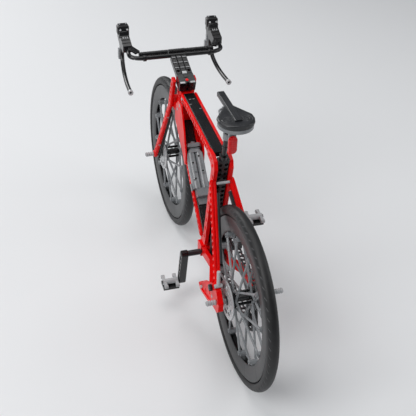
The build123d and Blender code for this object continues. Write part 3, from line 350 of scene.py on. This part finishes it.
# %% The finishes
RED = plastic("bright red beams", (0.85, 0.0015, 0.002), (0.68, 0.001, 0.0015),
              (0.24, 0.36), 0.2, shine=0.2)
BLACK = plastic("gloss black bricks", (0.004, 0.004, 0.0045), (0.008, 0.008, 0.009),
                (0.16, 0.28), 0.15)
RIM_GREY = plastic("dark grey rims", (0.013, 0.0135, 0.015), (0.02, 0.021, 0.0225),
                   (0.3, 0.42), 0.2, mottle=35.0)
DARK = plastic("dark grey bricks", (0.014, 0.015, 0.017), (0.021, 0.022, 0.025),
               (0.26, 0.4))
LIGHT = plastic("cool light grey bricks", (0.24, 0.25, 0.26), (0.17, 0.18, 0.19),
                (0.2, 0.34))
CHAIN_GREY = plastic("light grey chain links", (0.11, 0.113, 0.118), (0.06, 0.062, 0.065),
                     (0.25, 0.4))
PEG_GREY = plastic("pale grey pegs", (0.48, 0.49, 0.5), (0.38, 0.39, 0.4), (0.18, 0.3))

finish_of = {
    "head_tube": RED, "head_gussets": RED, "top_tube_rails": RED, "down_tube_rails": RED,
    "seat_tube_plates": RED, "seat_stays": RED, "chainstays": RED, "dropouts": RED,
    "bottom_bracket_shell": RED, "steerer": RED, "fork_crown": RED, "fork_outer_blades": RED,
    "top_tube_cover": BLACK, "down_tube_panel": BLACK, "seat_tube_core": BLACK, "seat_post": BLACK,
    "stem": BLACK, "handlebar": BLACK, "bar_segments": BLACK, "brake_hoods": BLACK, "front_hub": BLACK,
    "rear_hub": BLACK, "pedal_left_pad": BLACK, "pedal_right_pad": BLACK, "crank_arms": BLACK,
    "derailleur": BLACK, "frame_pins": PEG_GREY, "pulley_upper": DARK, "pulley_lower": DARK,
    "front_rim": RIM_GREY, "rear_rim": RIM_GREY, "seat_stay_inner_bars": DARK, "fork_inner_blades": BLACK,
    "saddle_nose": DARK, "saddle_wings": DARK, "rear_sprocket": DARK, "chainring": LIGHT,
    "crank_axle": DARK, "front_spoke_clips": LIGHT, "rear_spoke_clips": LIGHT, "front_spokes": LIGHT,
    "rear_spokes": LIGHT, "front_rotor": PEG_GREY, "rear_rotor": PEG_GREY, "front_axle": PEG_GREY,
    "rear_axle": PEG_GREY, "chain": CHAIN_GREY, "bar_end_caps": PEG_GREY, "brake_lever_left": LIGHT,
    "brake_lever_right": LIGHT, "saddle_underframe": LIGHT, "reflector_bracket": LIGHT,
    "bottle_body": LIGHT, "bottle_cap": LIGHT, "bottle_base": LIGHT, "pedal_left_cage": PEG_GREY,
    "pedal_right_cage": PEG_GREY,
}
for node, finish in finish_of.items():
    paint(node, finish)
print("finished nodes", len(finish_of))

# %% [markdown]
# Tyre rubber is black but never shiny: its sheen comes from wax on the surface, and road dust lightens it.

# %% Rubber finish


def rubber(name):
    """Matt black rubber with a fine leathery grain, a little dust, and nicks painted paler from the attribute
    as a painted highlight.
    """
    material, tree, shader = new_material(name)
    surface = moulded_surface(tree, (0.005, 0.005, 0.0055), (0.011, 0.011, 0.012), 120.0, 1400.0,
                              (0.42, 0.62), 0.1)
    # The nick attribute paints the nicks paler: a painted highlight standing in for the shine on their edges.
    scratch_wear_and_nick_glint = add(tree, "ShaderNodeAttribute", attribute_name="nick")
    pale = add(tree, "ShaderNodeMix", data_type="RGBA")
    pale.inputs["B"].default_value = (0.1, 0.1, 0.104, 1)
    tree.links.new(scratch_wear_and_nick_glint.outputs["Fac"], pale.inputs["Factor"])
    tree.links.new(surface.outputs["Color"], pale.inputs["A"])
    tree.links.new(pale.outputs["Result"], shader.inputs["Base Color"])
    tree.links.new(surface.outputs["Roughness"], shader.inputs["Roughness"])
    bump_from(tree, shader, surface.outputs["Height"], 0.25, 0.15 * MM)
    return material


RUBBER = rubber("black tyre rubber")
print("made", RUBBER.name)

# %% [markdown]
# A tyre is one section carried round a circle. The section is close to half an ellipse outside, and flatter
# and squarer inside. Small slanted nicks are pressed into both shoulders, and a fine groove marks the
# tread's edge.

# %% Tyres
AROUND = 1440
SECTION_POINTS = 48
CROWN = 7.7 * MM
SEAT = 4.6 * MM
SECTION_R = TYRE_R - CROWN
NICKS = 60
NICK_DEPTH = 0.8 * MM
NICK_SLANT = 5.5
SHOULDER = 0.95
GROOVE = 1.5
GROOVE_DEPTH = 0.35 * MM


def tyre_points(centre):
    """Grid (around, section, 3) of a tyre, and how deep the nick is at each point; the rubber also paints the
    nicks paler, a painted highlight.

    Section: radius = SECTION_R + height * cos(t), width = half * sin(t), each to a power that squares the
    inside, with a taller height outside. SHOULDER and GROOVE are the places t of the nicks and the groove.
    Nicks: where the slanted wave cos(NICKS * turn + slant * t) is near its top, the shoulder sinks.
    """
    turn = np.arange(AROUND)[:, None] / AROUND * TWO_PI
    t = np.arange(SECTION_POINTS)[None] / SECTION_POINTS * TWO_PI - math.pi
    c, s = np.cos(t), np.sin(t)
    outside = c > 0
    height = np.where(outside, CROWN, SEAT)
    rise = np.sign(c) * np.abs(c) ** np.where(outside, 1.0, 0.55)
    reach = np.sign(s) * np.abs(s) ** np.where(outside, 0.92, 0.75)
    from_shoulder = np.abs(t) - SHOULDER
    shoulder = np.exp(-(from_shoulder / 0.22) ** 4)
    wave = np.cos(NICKS * turn + np.sign(t) * NICK_SLANT * from_shoulder)
    nick = shoulder * np.clip((wave - 0.9) / 0.06, 0, 1)
    groove = np.exp(-((np.abs(t) - GROOVE) / 0.05) ** 2)
    sink = NICK_DEPTH * nick + GROOVE_DEPTH * groove
    radius = SECTION_R + (height - sink) * rise
    width = (TYRE_HALF - sink) * reach
    y = np.broadcast_to(width, radius.shape)
    grid = np.stack([centre[0] + radius * np.cos(turn), y, centre[2] + radius * np.sin(turn)], axis=-1)
    return grid, nick


for end, centre in wheel_centres.items():
    points, nick = tyre_points(centre)
    faces = grid_quads(AROUND, SECTION_POINTS, wrap_rows=True)
    tyre = make_piece(end + "_tyre_tread", points.reshape(-1, 3), faces, RUBBER, end + "_wheel",
                      [end + "_tyre"])
    # The nick mask sinks the shoulders and is also kept as an attribute that paints the nicks paler, a
    # painted highlight.
    tyre.data.attributes.new("nick", "FLOAT", "POINT").data.foreach_set("value", nick.ravel().astype("f4"))

# %% [markdown]
# The deep rim is a ring of moulded arcs. Its section comes from a few corners, rounded by cutting each
# corner twice, and a shallow groove marks the joint between two arcs.

# %% Rims
ARCS = 12
ARC_DEGREES = 360 / ARCS
RIM_AROUND = 720
JOINT_DEGREES = 0.35
JOINT_SINK = 0.035
rim_outline = np.array([(107.5, -5.6), (107.5, 5.6), (105.4, 6.3), (96, 6.0), (88, 4.7), (86, 3.9), (86, 3.1),
                        (93, 3.0), (93, -3.0), (86, -3.1), (86, -3.9), (88, -4.7), (96, -6.0),
                        (105.4, -6.3)]) * MM


def rim_points(centre):
    """Grid (around, section, 3): the rounded outline turned round the axle, sunk a little at each joint."""
    outline = rounded(rim_outline, 2)
    turn = np.arange(RIM_AROUND)[:, None] / RIM_AROUND * TWO_PI
    from_joint = ((turn / TWO_PI * ARCS + 0.5) % 1 - 0.5) * ARC_DEGREES
    sink = JOINT_SINK * np.exp(-(from_joint / JOINT_DEGREES) ** 2)
    radius = outline[None, :, 0] + 0 * turn
    y = outline[None, :, 1] * (1 - sink)
    return np.stack([centre[0] + radius * np.cos(turn), y, centre[2] + radius * np.sin(turn)], axis=-1)


for end, centre in wheel_centres.items():
    points = rim_points(centre)
    faces = grid_quads(*points.shape[:2], wrap_rows=True)
    make_piece(end + "_rim_ring", points.reshape(-1, 3), faces, RIM_GREY, end + "_wheel", [end + "_rim"], 50)

# %% [markdown]
# The reflector's lens is clear red plastic. Light enters it, so the finish lets part of the light through,
# and a pattern of small cells tilts the surface like prisms.

# %% Clear red finish


def clear_red(name):
    """Translucent red with a pattern of small cells that tilt the surface like prisms."""
    material, tree, shader = new_material(name)
    place = add(tree, "ShaderNodeTexCoord")
    cells = add(tree, "ShaderNodeTexVoronoi", feature="F1")
    cells.inputs["Scale"].default_value = 330.0
    cells.inputs["Randomness"].default_value = 0.25
    tree.links.new(place.outputs["Object"], cells.inputs["Vector"])
    shade = add(tree, "ShaderNodeMix", data_type="RGBA")
    shade.inputs["A"].default_value = (1.0, 0.012, 0.016, 1)
    shade.inputs["B"].default_value = (0.62, 0.0, 0.004, 1)
    spread = add(tree, "ShaderNodeMapRange")
    spread.inputs["From Max"].default_value = 0.8
    tree.links.new(cells.outputs["Distance"], spread.inputs["Value"])
    tree.links.new(spread.outputs["Result"], shade.inputs["Factor"])
    tree.links.new(shade.outputs["Result"], shader.inputs["Base Color"])
    bump_from(tree, shader, cells.outputs["Distance"], 0.7, 0.8 * MM)
    shader.inputs["Roughness"].default_value = 0.12
    shader.inputs["IOR"].default_value = 1.49
    shader.inputs["Transmission Weight"].default_value = 0.12
    return material


LENS_RED = clear_red("clear red lens")
for node, finish in (("reflector_lens", LENS_RED), ("front_tyre", RUBBER), ("rear_tyre", RUBBER)):
    paint(node, finish)

# %% [markdown]
# The steering axis leans back. Its direction, and a way to place things along it, come from the steering
# joint itself, so every piece of the fork and stem lines up with the one that turns.

# %% Places on the steering axis
steering = joints["steering_turn"]
STEER_UP = np.array(steering["axis"], float)
STEER_UP *= np.sign(STEER_UP[2])
STEER_FORWARD = np.cross(ACROSS, STEER_UP)
front_axle = wheel_centres["front"]
origin = np.array(steering["pos_m"], float)
STEER_ORIGIN = origin - STEER_UP * ((origin - front_axle) @ STEER_UP)


def steered(forward, y, up):
    """Point forward of the steering axis, to the left, and up along it, in millimetres."""
    return STEER_ORIGIN + (STEER_FORWARD * forward + ACROSS * y + STEER_UP * up) * MM


print("steering axis leans", round(math.degrees(math.acos(STEER_UP[2])), 1), "degrees")

# %% [markdown]
# The bar is one bent tube and each drop is another. A path drawn with a few corners becomes a smooth curve
# when its corners are cut four times over, and a circle is then carried along it.

# %% Bar and drops
BAR_R = 3.15 * MM
CLAMP_Y = 48.5
CLAMP_HALF = 2.6
REAR_X = wheel_centres["rear"][0]


def spot(x, y, z):
    """Point forward of the rear axle, to the left and above the ground, in millimetres."""
    return np.array([REAR_X + x * MM, y * MM, z * MM])


bar_centre = steered(47.2, 0, 180.5)
bar_x = (bar_centre[0] - REAR_X) / MM - 0.8
bar_z = bar_centre[2] / MM


def even_steps(path, count):
    """The same line with points at equal distances along it."""
    run = np.concatenate([[0], np.cumsum(np.linalg.norm(np.diff(path, axis=0), axis=1))])
    share = np.linspace(0, run[-1], count)
    return np.stack([np.interp(share, run, path[:, axis]) for axis in range(3)], axis=-1)


def round_tube(corners, radius, steps, sides=24):
    """Tube of a given radius along a smoothed line of corners, closed at both ends."""
    path = even_steps(rounded(np.array(corners), 4, closed=False), steps)
    sections = np.broadcast_to(circle(sides) * radius, (steps, sides, 2))
    return capped(carried(path, sections))


half_bar = [(360, 68, 306), (345, 68.3, 303.8), (333, 69, 302), (326.6, 56, 301.6), (bar_x, 46, bar_z)]
drop = [(383, 68, 299), (388, 68.3, 292), (388, 69, 281), (379, 70, 268), (361, 71.4, 261), (338, 73, 258),
        (309.6, 74, 259.4)]
bar_corners = [spot(x, -y, z) for x, y, z in half_bar] + [spot(*corner) for corner in reversed(half_bar)]
tubes = [round_tube(bar_corners, BAR_R, 160)]
for side in (1, -1):
    tubes.append(round_tube([spot(x, side * y, z) for x, y, z in drop], BAR_R, 90))
clamp_stations = [0, 0.08, 0.3, 0.7, 0.92, 1]
clamp_radii = np.array([3.2, 4.4, 4.7, 4.7, 4.4, 3.2]) * MM
for side in (1, -1):
    clamp_ends = [spot(bar_x, side * CLAMP_Y + reach, bar_z) for reach in (-CLAMP_HALF, CLAMP_HALF)]
    tubes.append(turned_bar(*clamp_ends, clamp_stations, clamp_radii, 28))
make_piece("bar_and_drops", *joined(tubes), BLACK, "steering", ["handlebar"])

# %% [markdown]
# The sleeves in front of the bar are short ribbed cylinders. Turning a stepped profile gives each its three
# raised rings.

# %% Ribbed sleeves on the bar
SLEEVES_A_SIDE = 5
FIRST_SLEEVE = 13.0
SLEEVE_PITCH = 8.6
SLEEVE_LENGTH = 8.2
MIDDLE_HALF = 12.2
MIDDLE_RINGS = 9
sleeve_centre = bar_centre + (STEER_FORWARD * 6.5 + STEER_UP * 1.4) * MM
rib_stations = [0, 0.03, 0.22, 0.25, 0.33, 0.36, 0.62, 0.65, 0.73, 0.76, 0.97, 1]
rib_radii = np.array([2.8, 3.25, 3.25, 2.7, 2.7, 3.25, 3.25, 2.7, 2.7, 3.25, 3.25, 2.8]) * MM
sleeves = []
for side in (1, -1):
    for step in range(SLEEVES_A_SIDE):
        near = sleeve_centre + ACROSS * side * (FIRST_SLEEVE + SLEEVE_PITCH * step) * MM
        far = near + ACROSS * side * SLEEVE_LENGTH * MM
        sleeves.append(turned_bar(near, far, rib_stations, rib_radii, 18))
ring_share = np.linspace(0, 1, MIDDLE_RINGS * 4 + 1)
ring_radii = np.where(np.arange(len(ring_share)) % 4 < 3, 3.6, 3.0) * MM
middle_reach = ACROSS * MIDDLE_HALF * MM
middle_ends = (sleeve_centre - middle_reach, sleeve_centre + middle_reach)
sleeves.append(turned_bar(*middle_ends, ring_share, ring_radii, 20))
make_piece("bar_sleeves", *joined(sleeves), BLACK, "steering", ["bar_segments"], 30)
print("ribbed sleeves", len(sleeves))

# %% [markdown]
# Pins and pin ends are everywhere on a brick-built model: small round heads with a shallow hollow. One
# turned profile serves for all of them, and only the place, direction and finish change.

# %% Pin heads
PIN_SUNK = 1.2
PIN_RIM = 0.25
PIN_HOLLOW = 0.5


def pin_head(place, direction, radius=2.35, proud=0.5):
    """Turned head: a rounded rim, then a shallow hollow at its middle, standing proud of its hole."""
    place, direction = np.asarray(place, float), np.asarray(direction, float)
    direction = direction / np.linalg.norm(direction)
    start = place - direction * PIN_SUNK * MM
    end = place + direction * proud * MM
    span = PIN_SUNK + proud
    stations = [0, (span - PIN_RIM) / span, 1, 1, (span - PIN_HOLLOW) / span]
    radii = np.array([1, 1, 0.86, 0.55, 0.5]) * radius * MM
    return turned_bar(start, end, stations, radii, 16)


def pins(name, places, finish, body, radius=2.35, proud=0.5):
    """All the pins of one finish on one body, as a single piece."""
    heads = [pin_head(place, direction, radius, proud) for place, direction in places]
    return make_piece(name, *joined(heads), finish, body)


fork_pins, fork_dots = [], []
for side in (1, -1):
    crown = steered(5.5, side * 17.6, 122.4)
    foot = steered(16, side * 28.6, -3)
    line = foot - crown
    rear = np.cross(line, ACROSS)
    rear *= -np.sign(rear[0]) / np.linalg.norm(rear)
    for share in (0.13, 0.34, 0.62, 0.86):
        fork_pins.append((crown + line * share + ACROSS * side * 0.1 * MM, ACROSS * side))
    for share in (0.2, 0.75):
        fork_dots.append((crown + line * share - ACROSS * side * 2.7 * MM + rear * 4.2 * MM, rear))
    for up in (133, 149, 165):
        fork_pins.append((steered(5.5, side * 17.5, up), ACROSS * side))
pins("fork_side_pins", fork_pins, RED, "steering", 2.3, 0.5)
pins("fork_rear_pins", fork_dots, PEG_GREY, "steering", 1.5, 0.5)

head_pins = []
for side in (1, -1):
    for x, z in ((259, 257), (270, 246)):
        head_pins.append((spot(x, side * 14.2, z), ACROSS * side))
    head_pins.append((spot(257, side * 11.8, 268.5), ACROSS * side))
pins("head_pins", head_pins, PEG_GREY, "frame", 2.2, 0.6)

seat_pins = []
for side in (1, -1):
    for x, z in ((104.5, 256), (112, 262.6), (120, 263.4), (113.5, 176)):
        seat_pins.append((spot(x, side * 13.0, z), ACROSS * side))
pins("seat_cluster_pins", seat_pins, RED, "frame", 2.4, 0.5)

# %% [markdown]
# The stem's columns carry painted highlights: pale grey bars along their edges and two pale plates at the
# rear stand in for glints of light, beside one light grey plate in the middle. They are thin rounded bars, so
# each is a box whose corners are softened by a bevel modifier.

# %% Stem details


def soft_box(name, boxes, finish, body, bevel=0.3):
    """Boxes given by centre, three half sizes and three axes, joined, their edges rounded by a bevel."""
    corners = np.array([(x, y, z) for x in (-1, 1) for y in (-1, 1) for z in (-1, 1)], float)
    sides = [(0, 1, 3, 2), (4, 6, 7, 5), (0, 4, 5, 1), (2, 3, 7, 6), (0, 2, 6, 4), (1, 5, 7, 3)]
    parts = [(centre + (corners * half) @ np.stack(axes), [list(face) for face in sides])
             for centre, half, axes in boxes]
    piece = make_piece(name, *joined(parts), finish, body)
    rounding = piece.modifiers.new("rounded edges", "BEVEL")
    rounding.width = bevel * MM
    rounding.segments = 2
    return piece


stem_axes = (STEER_FORWARD, ACROSS, STEER_UP)
plates = [(steered(6.4, 0, 185.0), np.array([2.4, 3.4, 0.9]) * MM, stem_axes)]
# The two rear plates are painted highlights: pale grey standing in for a glint on the block's top.
for side in (1, -1):
    plates.append((steered(-12.6, side * 7.3, 184.6), np.array([1.6, 3.6, 0.55]) * MM, stem_axes))
soft_box("stem_plate_and_painted_highlights", plates, PEG_GREY, "steering", 0.35)
cover = [(steered(0, 0, 184.7), np.array([3.1, 3.2, 0.45]) * MM, stem_axes)]
soft_box("stem_cover_tile", cover, BLACK, "steering", 0.3)
edges = []
# Pale bars along the column edges: painted highlights standing in for glints of light.
for lane in (-1, 0, 1):
    for forward in (17.8, 28.3, 38.6):
        edges.append((steered(forward, lane * 7.85, 184.45), np.array([0.45, 2.9, 0.2]) * MM, stem_axes))
soft_box("stem_painted_edge_highlights", edges, PEG_GREY, "steering", 0.15)

# %% [markdown]
# A flat pad of four ribs lies over each corner of the bar, between the sleeves and the hood.

# %% Corner pads
pads = []
for side in (1, -1):
    start, end = spot(333.5, side * 57, 307.6), spot(347, side * 65, 309.6)
    along = (end - start) / np.linalg.norm(end - start)
    over = np.cross(along, ACROSS * side)
    over *= np.sign(over[2]) / np.linalg.norm(over)
    beside = np.cross(over, along)
    for share in (0.12, 0.37, 0.62, 0.87):
        pads.append((start + (end - start) * share, np.array([1.7, 4.2, 1.6]) * MM, (along, beside, over)))
soft_box("bar_corner_pads", pads, BLACK, "steering", 0.4)

# %% [markdown]
# Each hood is built from stacked bricks. Light pin ends show at its corners, and a short row of pale clips
# across its middle is a painted highlight, standing in for a glint there.

# %% Hood details
HOOD_Y = 68
clip_axes = (np.array([0.94, 0, 0.34]), ACROSS, np.array([-0.34, 0, 0.94]))
upright_axes = (np.array([1.0, 0, 0]), ACROSS, np.array([0, 0, 1.0]))
clip_half = np.array([1.6, 0.5, 1.0]) * MM
hood_pins, clips, heads = [], [], []
for side in (1, -1):
    for x, y, z in ((384, 5.2, 330.2), (384, -5.2, 330.2), (375, 5.4, 325.6), (375, -5.4, 325.6)):
        hood_pins.append((spot(x, side * HOOD_Y + y, z), np.array([-0.35, np.sign(y) * 0.5, 0.9])))
    # Pale clips across the hood's middle: a painted highlight.
    for y in (-3, 0, 3):
        clips.append((spot(366, side * HOOD_Y + y, 316.6), clip_half, clip_axes))
    for x, z, half in ((383.5, 322.5, (5.2, 8.8, 6.4)), (374.8, 318.0, (2.6, 7.6, 5.6))):
        heads.append((spot(x, side * HOOD_Y, z), np.array(half) * MM, upright_axes))
pins("hood_pins", hood_pins, PEG_GREY, "steering", 1.5, 0.7)
soft_box("hood_heads", heads, BLACK, "steering", 1.6)
soft_box("hood_painted_highlight_clips", clips, PEG_GREY, "steering", 0.2)

# %% [markdown]
# The knob beside the left dropout is a small gear. Its outline swings in and out eight times round the
# circle, and the outline is carried a short way along the knob's axis.

# %% Gear knob


def gear_points(centre, radius, depth, thickness, teeth=8, sides=96):
    """Rings of r = radius + depth * softened cosine(teeth * turn), smaller at both ends for a soft edge."""
    turn = np.arange(sides) / sides * TWO_PI
    wave = np.tanh(2.2 * np.cos(teeth * turn))
    ring = (radius + depth * wave)[None] * np.array([0.35, 0.86, 1, 1, 0.86, 0.35])[:, None]
    y = np.array([0, 0, 0.15, 0.85, 1, 1]) * thickness
    x = ring * np.cos(turn)
    z = ring * np.sin(turn)
    return centre + np.stack([x, y[:, None] + 0 * x, z], axis=-1)


knob = gear_points(spot(19, 34.0, 128.5), radius=3.9 * MM, depth=0.6 * MM, thickness=4.4 * MM)
make_piece("left_gear_knob", *capped(knob), DARK, "frame")

# %% [markdown]
# The lens is a low oval dome. Its outline is two half circles a short way apart, and each ring of the dome
# is that outline again, smaller and further back.

# %% Reflector lens


def lens_points(middle_point, radius=5.8, apart=6.7, sides=64):
    """Rings of an oval: y = r * cos(t), z = r * sin(t) moved up or down by apart, shrunk ring by ring."""
    turn = (np.arange(sides) + 0.5) / sides * TWO_PI
    shrink = np.array([0.9, 1, 1, 0.94, 0.8, 0.5, 0.2])
    back = np.array([0, 0.3, 1.8, 2.7, 3.1, 3.35, 3.4])
    y = shrink[:, None] * radius * np.cos(turn)
    z = shrink[:, None] * radius * np.sin(turn) + np.sign(np.sin(turn)) * apart * shrink[:, None] ** 0.5
    x = -back[:, None] + 0 * y
    return middle_point + np.stack([x, y, z], axis=-1) * MM


make_piece("reflector_dome", *capped(lens_points(spot(72.4, 0, 305.5))), LENS_RED, "frame",
           ["reflector_lens"], 30)

# %% [markdown]
# The saddle's wings are one smooth form. A rounded section runs from the tail to the nose, as wide at each
# place as the outline says, and two thin rings are engraved into each wing.

# %% Saddle wings
SADDLE_Z = 341.0
SADDLE_TAIL, SADDLE_FRONT = 44.9, 97
HALF_THICK = 3.2
RING_X, RING_Y = 62, 12.5
OUTER_RING, INNER_RING = 6.3, 2.6
RING_DEPTH = 0.5
STATIONS = 240
SECTION = 160


def saddle_points():
    """Grid of sections: y = half(x) * cos(t)^0.45, z = a flat oval of sin(t)^0.55, less the engraved rings.

    half(x) follows the outline's stations and is smoothed by a running mean.
    """
    x = np.linspace(SADDLE_TAIL, SADDLE_FRONT, STATIONS)
    half = np.interp(x, [44.9, 45.8, 49.5, 55, 63, 72, 84, 97], [4, 9.5, 16.5, 20.4, 22.6, 22.2, 13.8, 4.6])
    half = np.convolve(np.pad(half, 5, mode="edge"), np.ones(11) / 11, mode="valid")
    t = np.arange(SECTION) / SECTION * TWO_PI
    c, s = np.cos(t), np.sin(t)
    y = half[:, None] * np.sign(c) * np.abs(c) ** 0.45
    z = SADDLE_Z + HALF_THICK + HALF_THICK * np.sign(s) * np.abs(s) ** 0.55 + 0 * y
    reach = np.hypot(x[:, None] - RING_X, np.abs(y) - RING_Y)
    top = np.clip((z - SADDLE_Z - 5) / 1, 0, 1)
    ring = np.exp(-((reach - OUTER_RING) / 0.35) ** 2) + np.exp(-((reach - INNER_RING) / 0.3) ** 2)
    z = z - RING_DEPTH * ring * top
    return np.stack([REAR_X + x[:, None] * MM + 0 * y, y * MM, z * MM], axis=-1)


make_piece("saddle_shell", *capped(saddle_points()), DARK, "frame", ["saddle_wings"], 35)

# %% [markdown]
# Small tiles finish the frame: pale dashes where the top tube meets the head, a dark band round the
# bottle's neck, and black tiles along its body that are painted shade, standing in for the dark inside its
# slots.

# %% Tiles and bands
top_front, top_rear = spot(261.5, 0, 269.5), spot(108, 0, 263)
tube_ahead = (top_front - top_rear) / np.linalg.norm(top_front - top_rear)
tube_up = np.cross(tube_ahead, ACROSS)
dashes = []
for back, y in ((14, 2.4), (14, -2.6), (27, 5.2), (40, -5.0)):
    place = top_front - tube_ahead * back * MM + tube_up * 3.55 * MM + ACROSS * y * MM
    dashes.append((place, np.array([0.35, 1.6, 0.12]) * MM, (tube_ahead, ACROSS, tube_up)))
soft_box("top_tube_dashes", dashes, PEG_GREY, "frame", 0.08)
down_foot, down_head = spot(147, 0, 113), spot(281, 0, 232)
down_ahead = (down_head - down_foot) / np.linalg.norm(down_head - down_foot)
down_up = np.cross(down_ahead, ACROSS)
neck = down_foot + (down_ahead * 121.2 + down_up * 10.6) * MM
band = [(neck, np.array([1.7, 10.5, 5.7]) * MM, (down_ahead, ACROSS, down_up))]
soft_box("bottle_neck_band", band, BLACK, "frame", 3.0)
slots = []
# Black tiles laid on the bottle: painted shade for the hollows of its slots.
for run, y in ((86, -5.9), (99, 6.2), (76, 6.6), (108, -3.8)):
    place = down_foot + (down_ahead * run + down_up * 16.3) * MM + ACROSS * y * MM
    slots.append((place, np.array([1.2, 1.3, 0.3]) * MM, (down_ahead, ACROSS, down_up)))
soft_box("bottle_slot_painted_shade", slots, BLACK, "frame", 0.2)

# %% [markdown]
# The stage is a pale floor that curves up behind the model, lit by large soft lights so that the glossy
# bricks show long, even highlights. The scene's view transform is Standard, which keeps the red saturated.

# %% Floor, lights and camera
FLOOR_ROWS, FLOOR_COLUMNS = 90, 40
FLOOR_LONG = 7.0
FLOOR_HALF_WIDE = 3.2
FLAT_END = 2.2
BEND_RUN = 1.6
BEND_R = 1.2
FLOOR_DROP = 0.5 * MM
CAMERA_PLACE = (-0.88042, 0.28713, 0.82646)
CAMERA_YAW, CAMERA_PITCH, CAMERA_ROLL = -0.3235, 0.6413, -0.0510
CAMERA_LENS = 70.0


def studio_floor():
    """Pale sheet: flat under the model, then curving up in a quarter circle well behind it."""
    u = np.linspace(0, 1, FLOOR_ROWS)[:, None]
    v = np.linspace(-1, 1, FLOOR_COLUMNS)[None]
    run = u * FLOOR_LONG - FLAT_END
    bend = np.clip((run - FLAT_END) / BEND_RUN, 0, 1) * math.pi / 2
    x = np.where(run < FLAT_END, run, FLAT_END + BEND_R * np.sin(bend))
    rise = np.where(run < FLAT_END, 0, BEND_R * (1 - np.cos(bend)))
    z = rise + np.clip(run - FLAT_END - BEND_RUN, 0, None)
    grid = np.stack([x + 0 * v, FLOOR_HALF_WIDE * v + 0 * u, z + 0 * v - FLOOR_DROP], axis=-1)
    faces = grid_quads(FLOOR_ROWS, FLOOR_COLUMNS, wrap_columns=False)
    mesh = bpy.data.meshes.new("studio_floor")
    mesh.from_pydata(grid.reshape(-1, 3).tolist(), [], faces.tolist())
    mesh.shade_smooth()
    material = bpy.data.materials.new("pale paper")
    material.use_nodes = True
    shader = material.node_tree.nodes["Principled BSDF"]
    shader.inputs["Base Color"].default_value = (0.78, 0.79, 0.8, 1)
    shader.inputs["Roughness"].default_value = 0.7
    mesh.materials.append(material)
    floor = bpy.data.objects.new("studio_floor", mesh)
    bpy.context.scene.collection.objects.link(floor)
    return floor


studio_floor()


def soft_light(name, place, target, size, power):
    """Square area light that looks at a target."""
    light = bpy.data.lights.new(name, "AREA")
    light.size = size
    light.energy = power
    lamp = bpy.data.objects.new(name, light)
    lamp.location = place
    lamp.rotation_mode = "QUATERNION"
    lamp.rotation_quaternion = (Vector(target) - Vector(place)).to_track_quat("-Z", "Y")
    bpy.context.scene.collection.objects.link(lamp)


studio_lights = (
    ("key light", (-0.7, 1.3, 1.5), (0, 0, 0.15), 1.1, 21),
    ("fill light", (-0.3, -1.6, 1.0), (0, 0, 0.15), 1.3, 8),
    ("top light", (0.3, 0.1, 1.9), (0, 0, 0.1), 1.5, 13),
    ("back light", (1.7, 0.6, 1.1), (0, 0, 0.2), 0.9, 12),
)
for light in studio_lights:
    soft_light(*light)

world = bpy.data.worlds.new("studio")
world.use_nodes = True
world.node_tree.nodes["Background"].inputs["Color"].default_value = (0.9, 0.93, 1, 1)
world.node_tree.nodes["Background"].inputs["Strength"].default_value = 0.16
bpy.context.scene.world = world
bpy.context.scene.view_settings.view_transform = "Standard"


def aim_camera(place, yaw, pitch, roll, lens):
    """Camera at a place, looking along yaw and down by pitch, then rolled about its line of sight."""
    look = Vector((math.cos(yaw) * math.cos(pitch), math.sin(yaw) * math.cos(pitch), -math.sin(pitch)))
    right = look.cross(Vector((0, 0, 1))).normalized()
    down = look.cross(right)
    rolled_right = right * math.cos(roll) + down * math.sin(roll)
    rolled_down = down * math.cos(roll) - right * math.sin(roll)
    data = bpy.data.cameras.new("camera")
    data.lens = lens
    data.sensor_width = 36
    camera = bpy.data.objects.new("camera", data)
    axes = Matrix([rolled_right, -rolled_down, -look]).transposed()
    camera.matrix_world = Matrix.Translation(place) @ axes.to_4x4()
    bpy.context.scene.collection.objects.link(camera)
    return camera


bpy.context.scene.camera = aim_camera(CAMERA_PLACE, CAMERA_YAW, CAMERA_PITCH, CAMERA_ROLL, CAMERA_LENS)
print("lights", len(studio_lights), "camera lens", CAMERA_LENS, "mm")
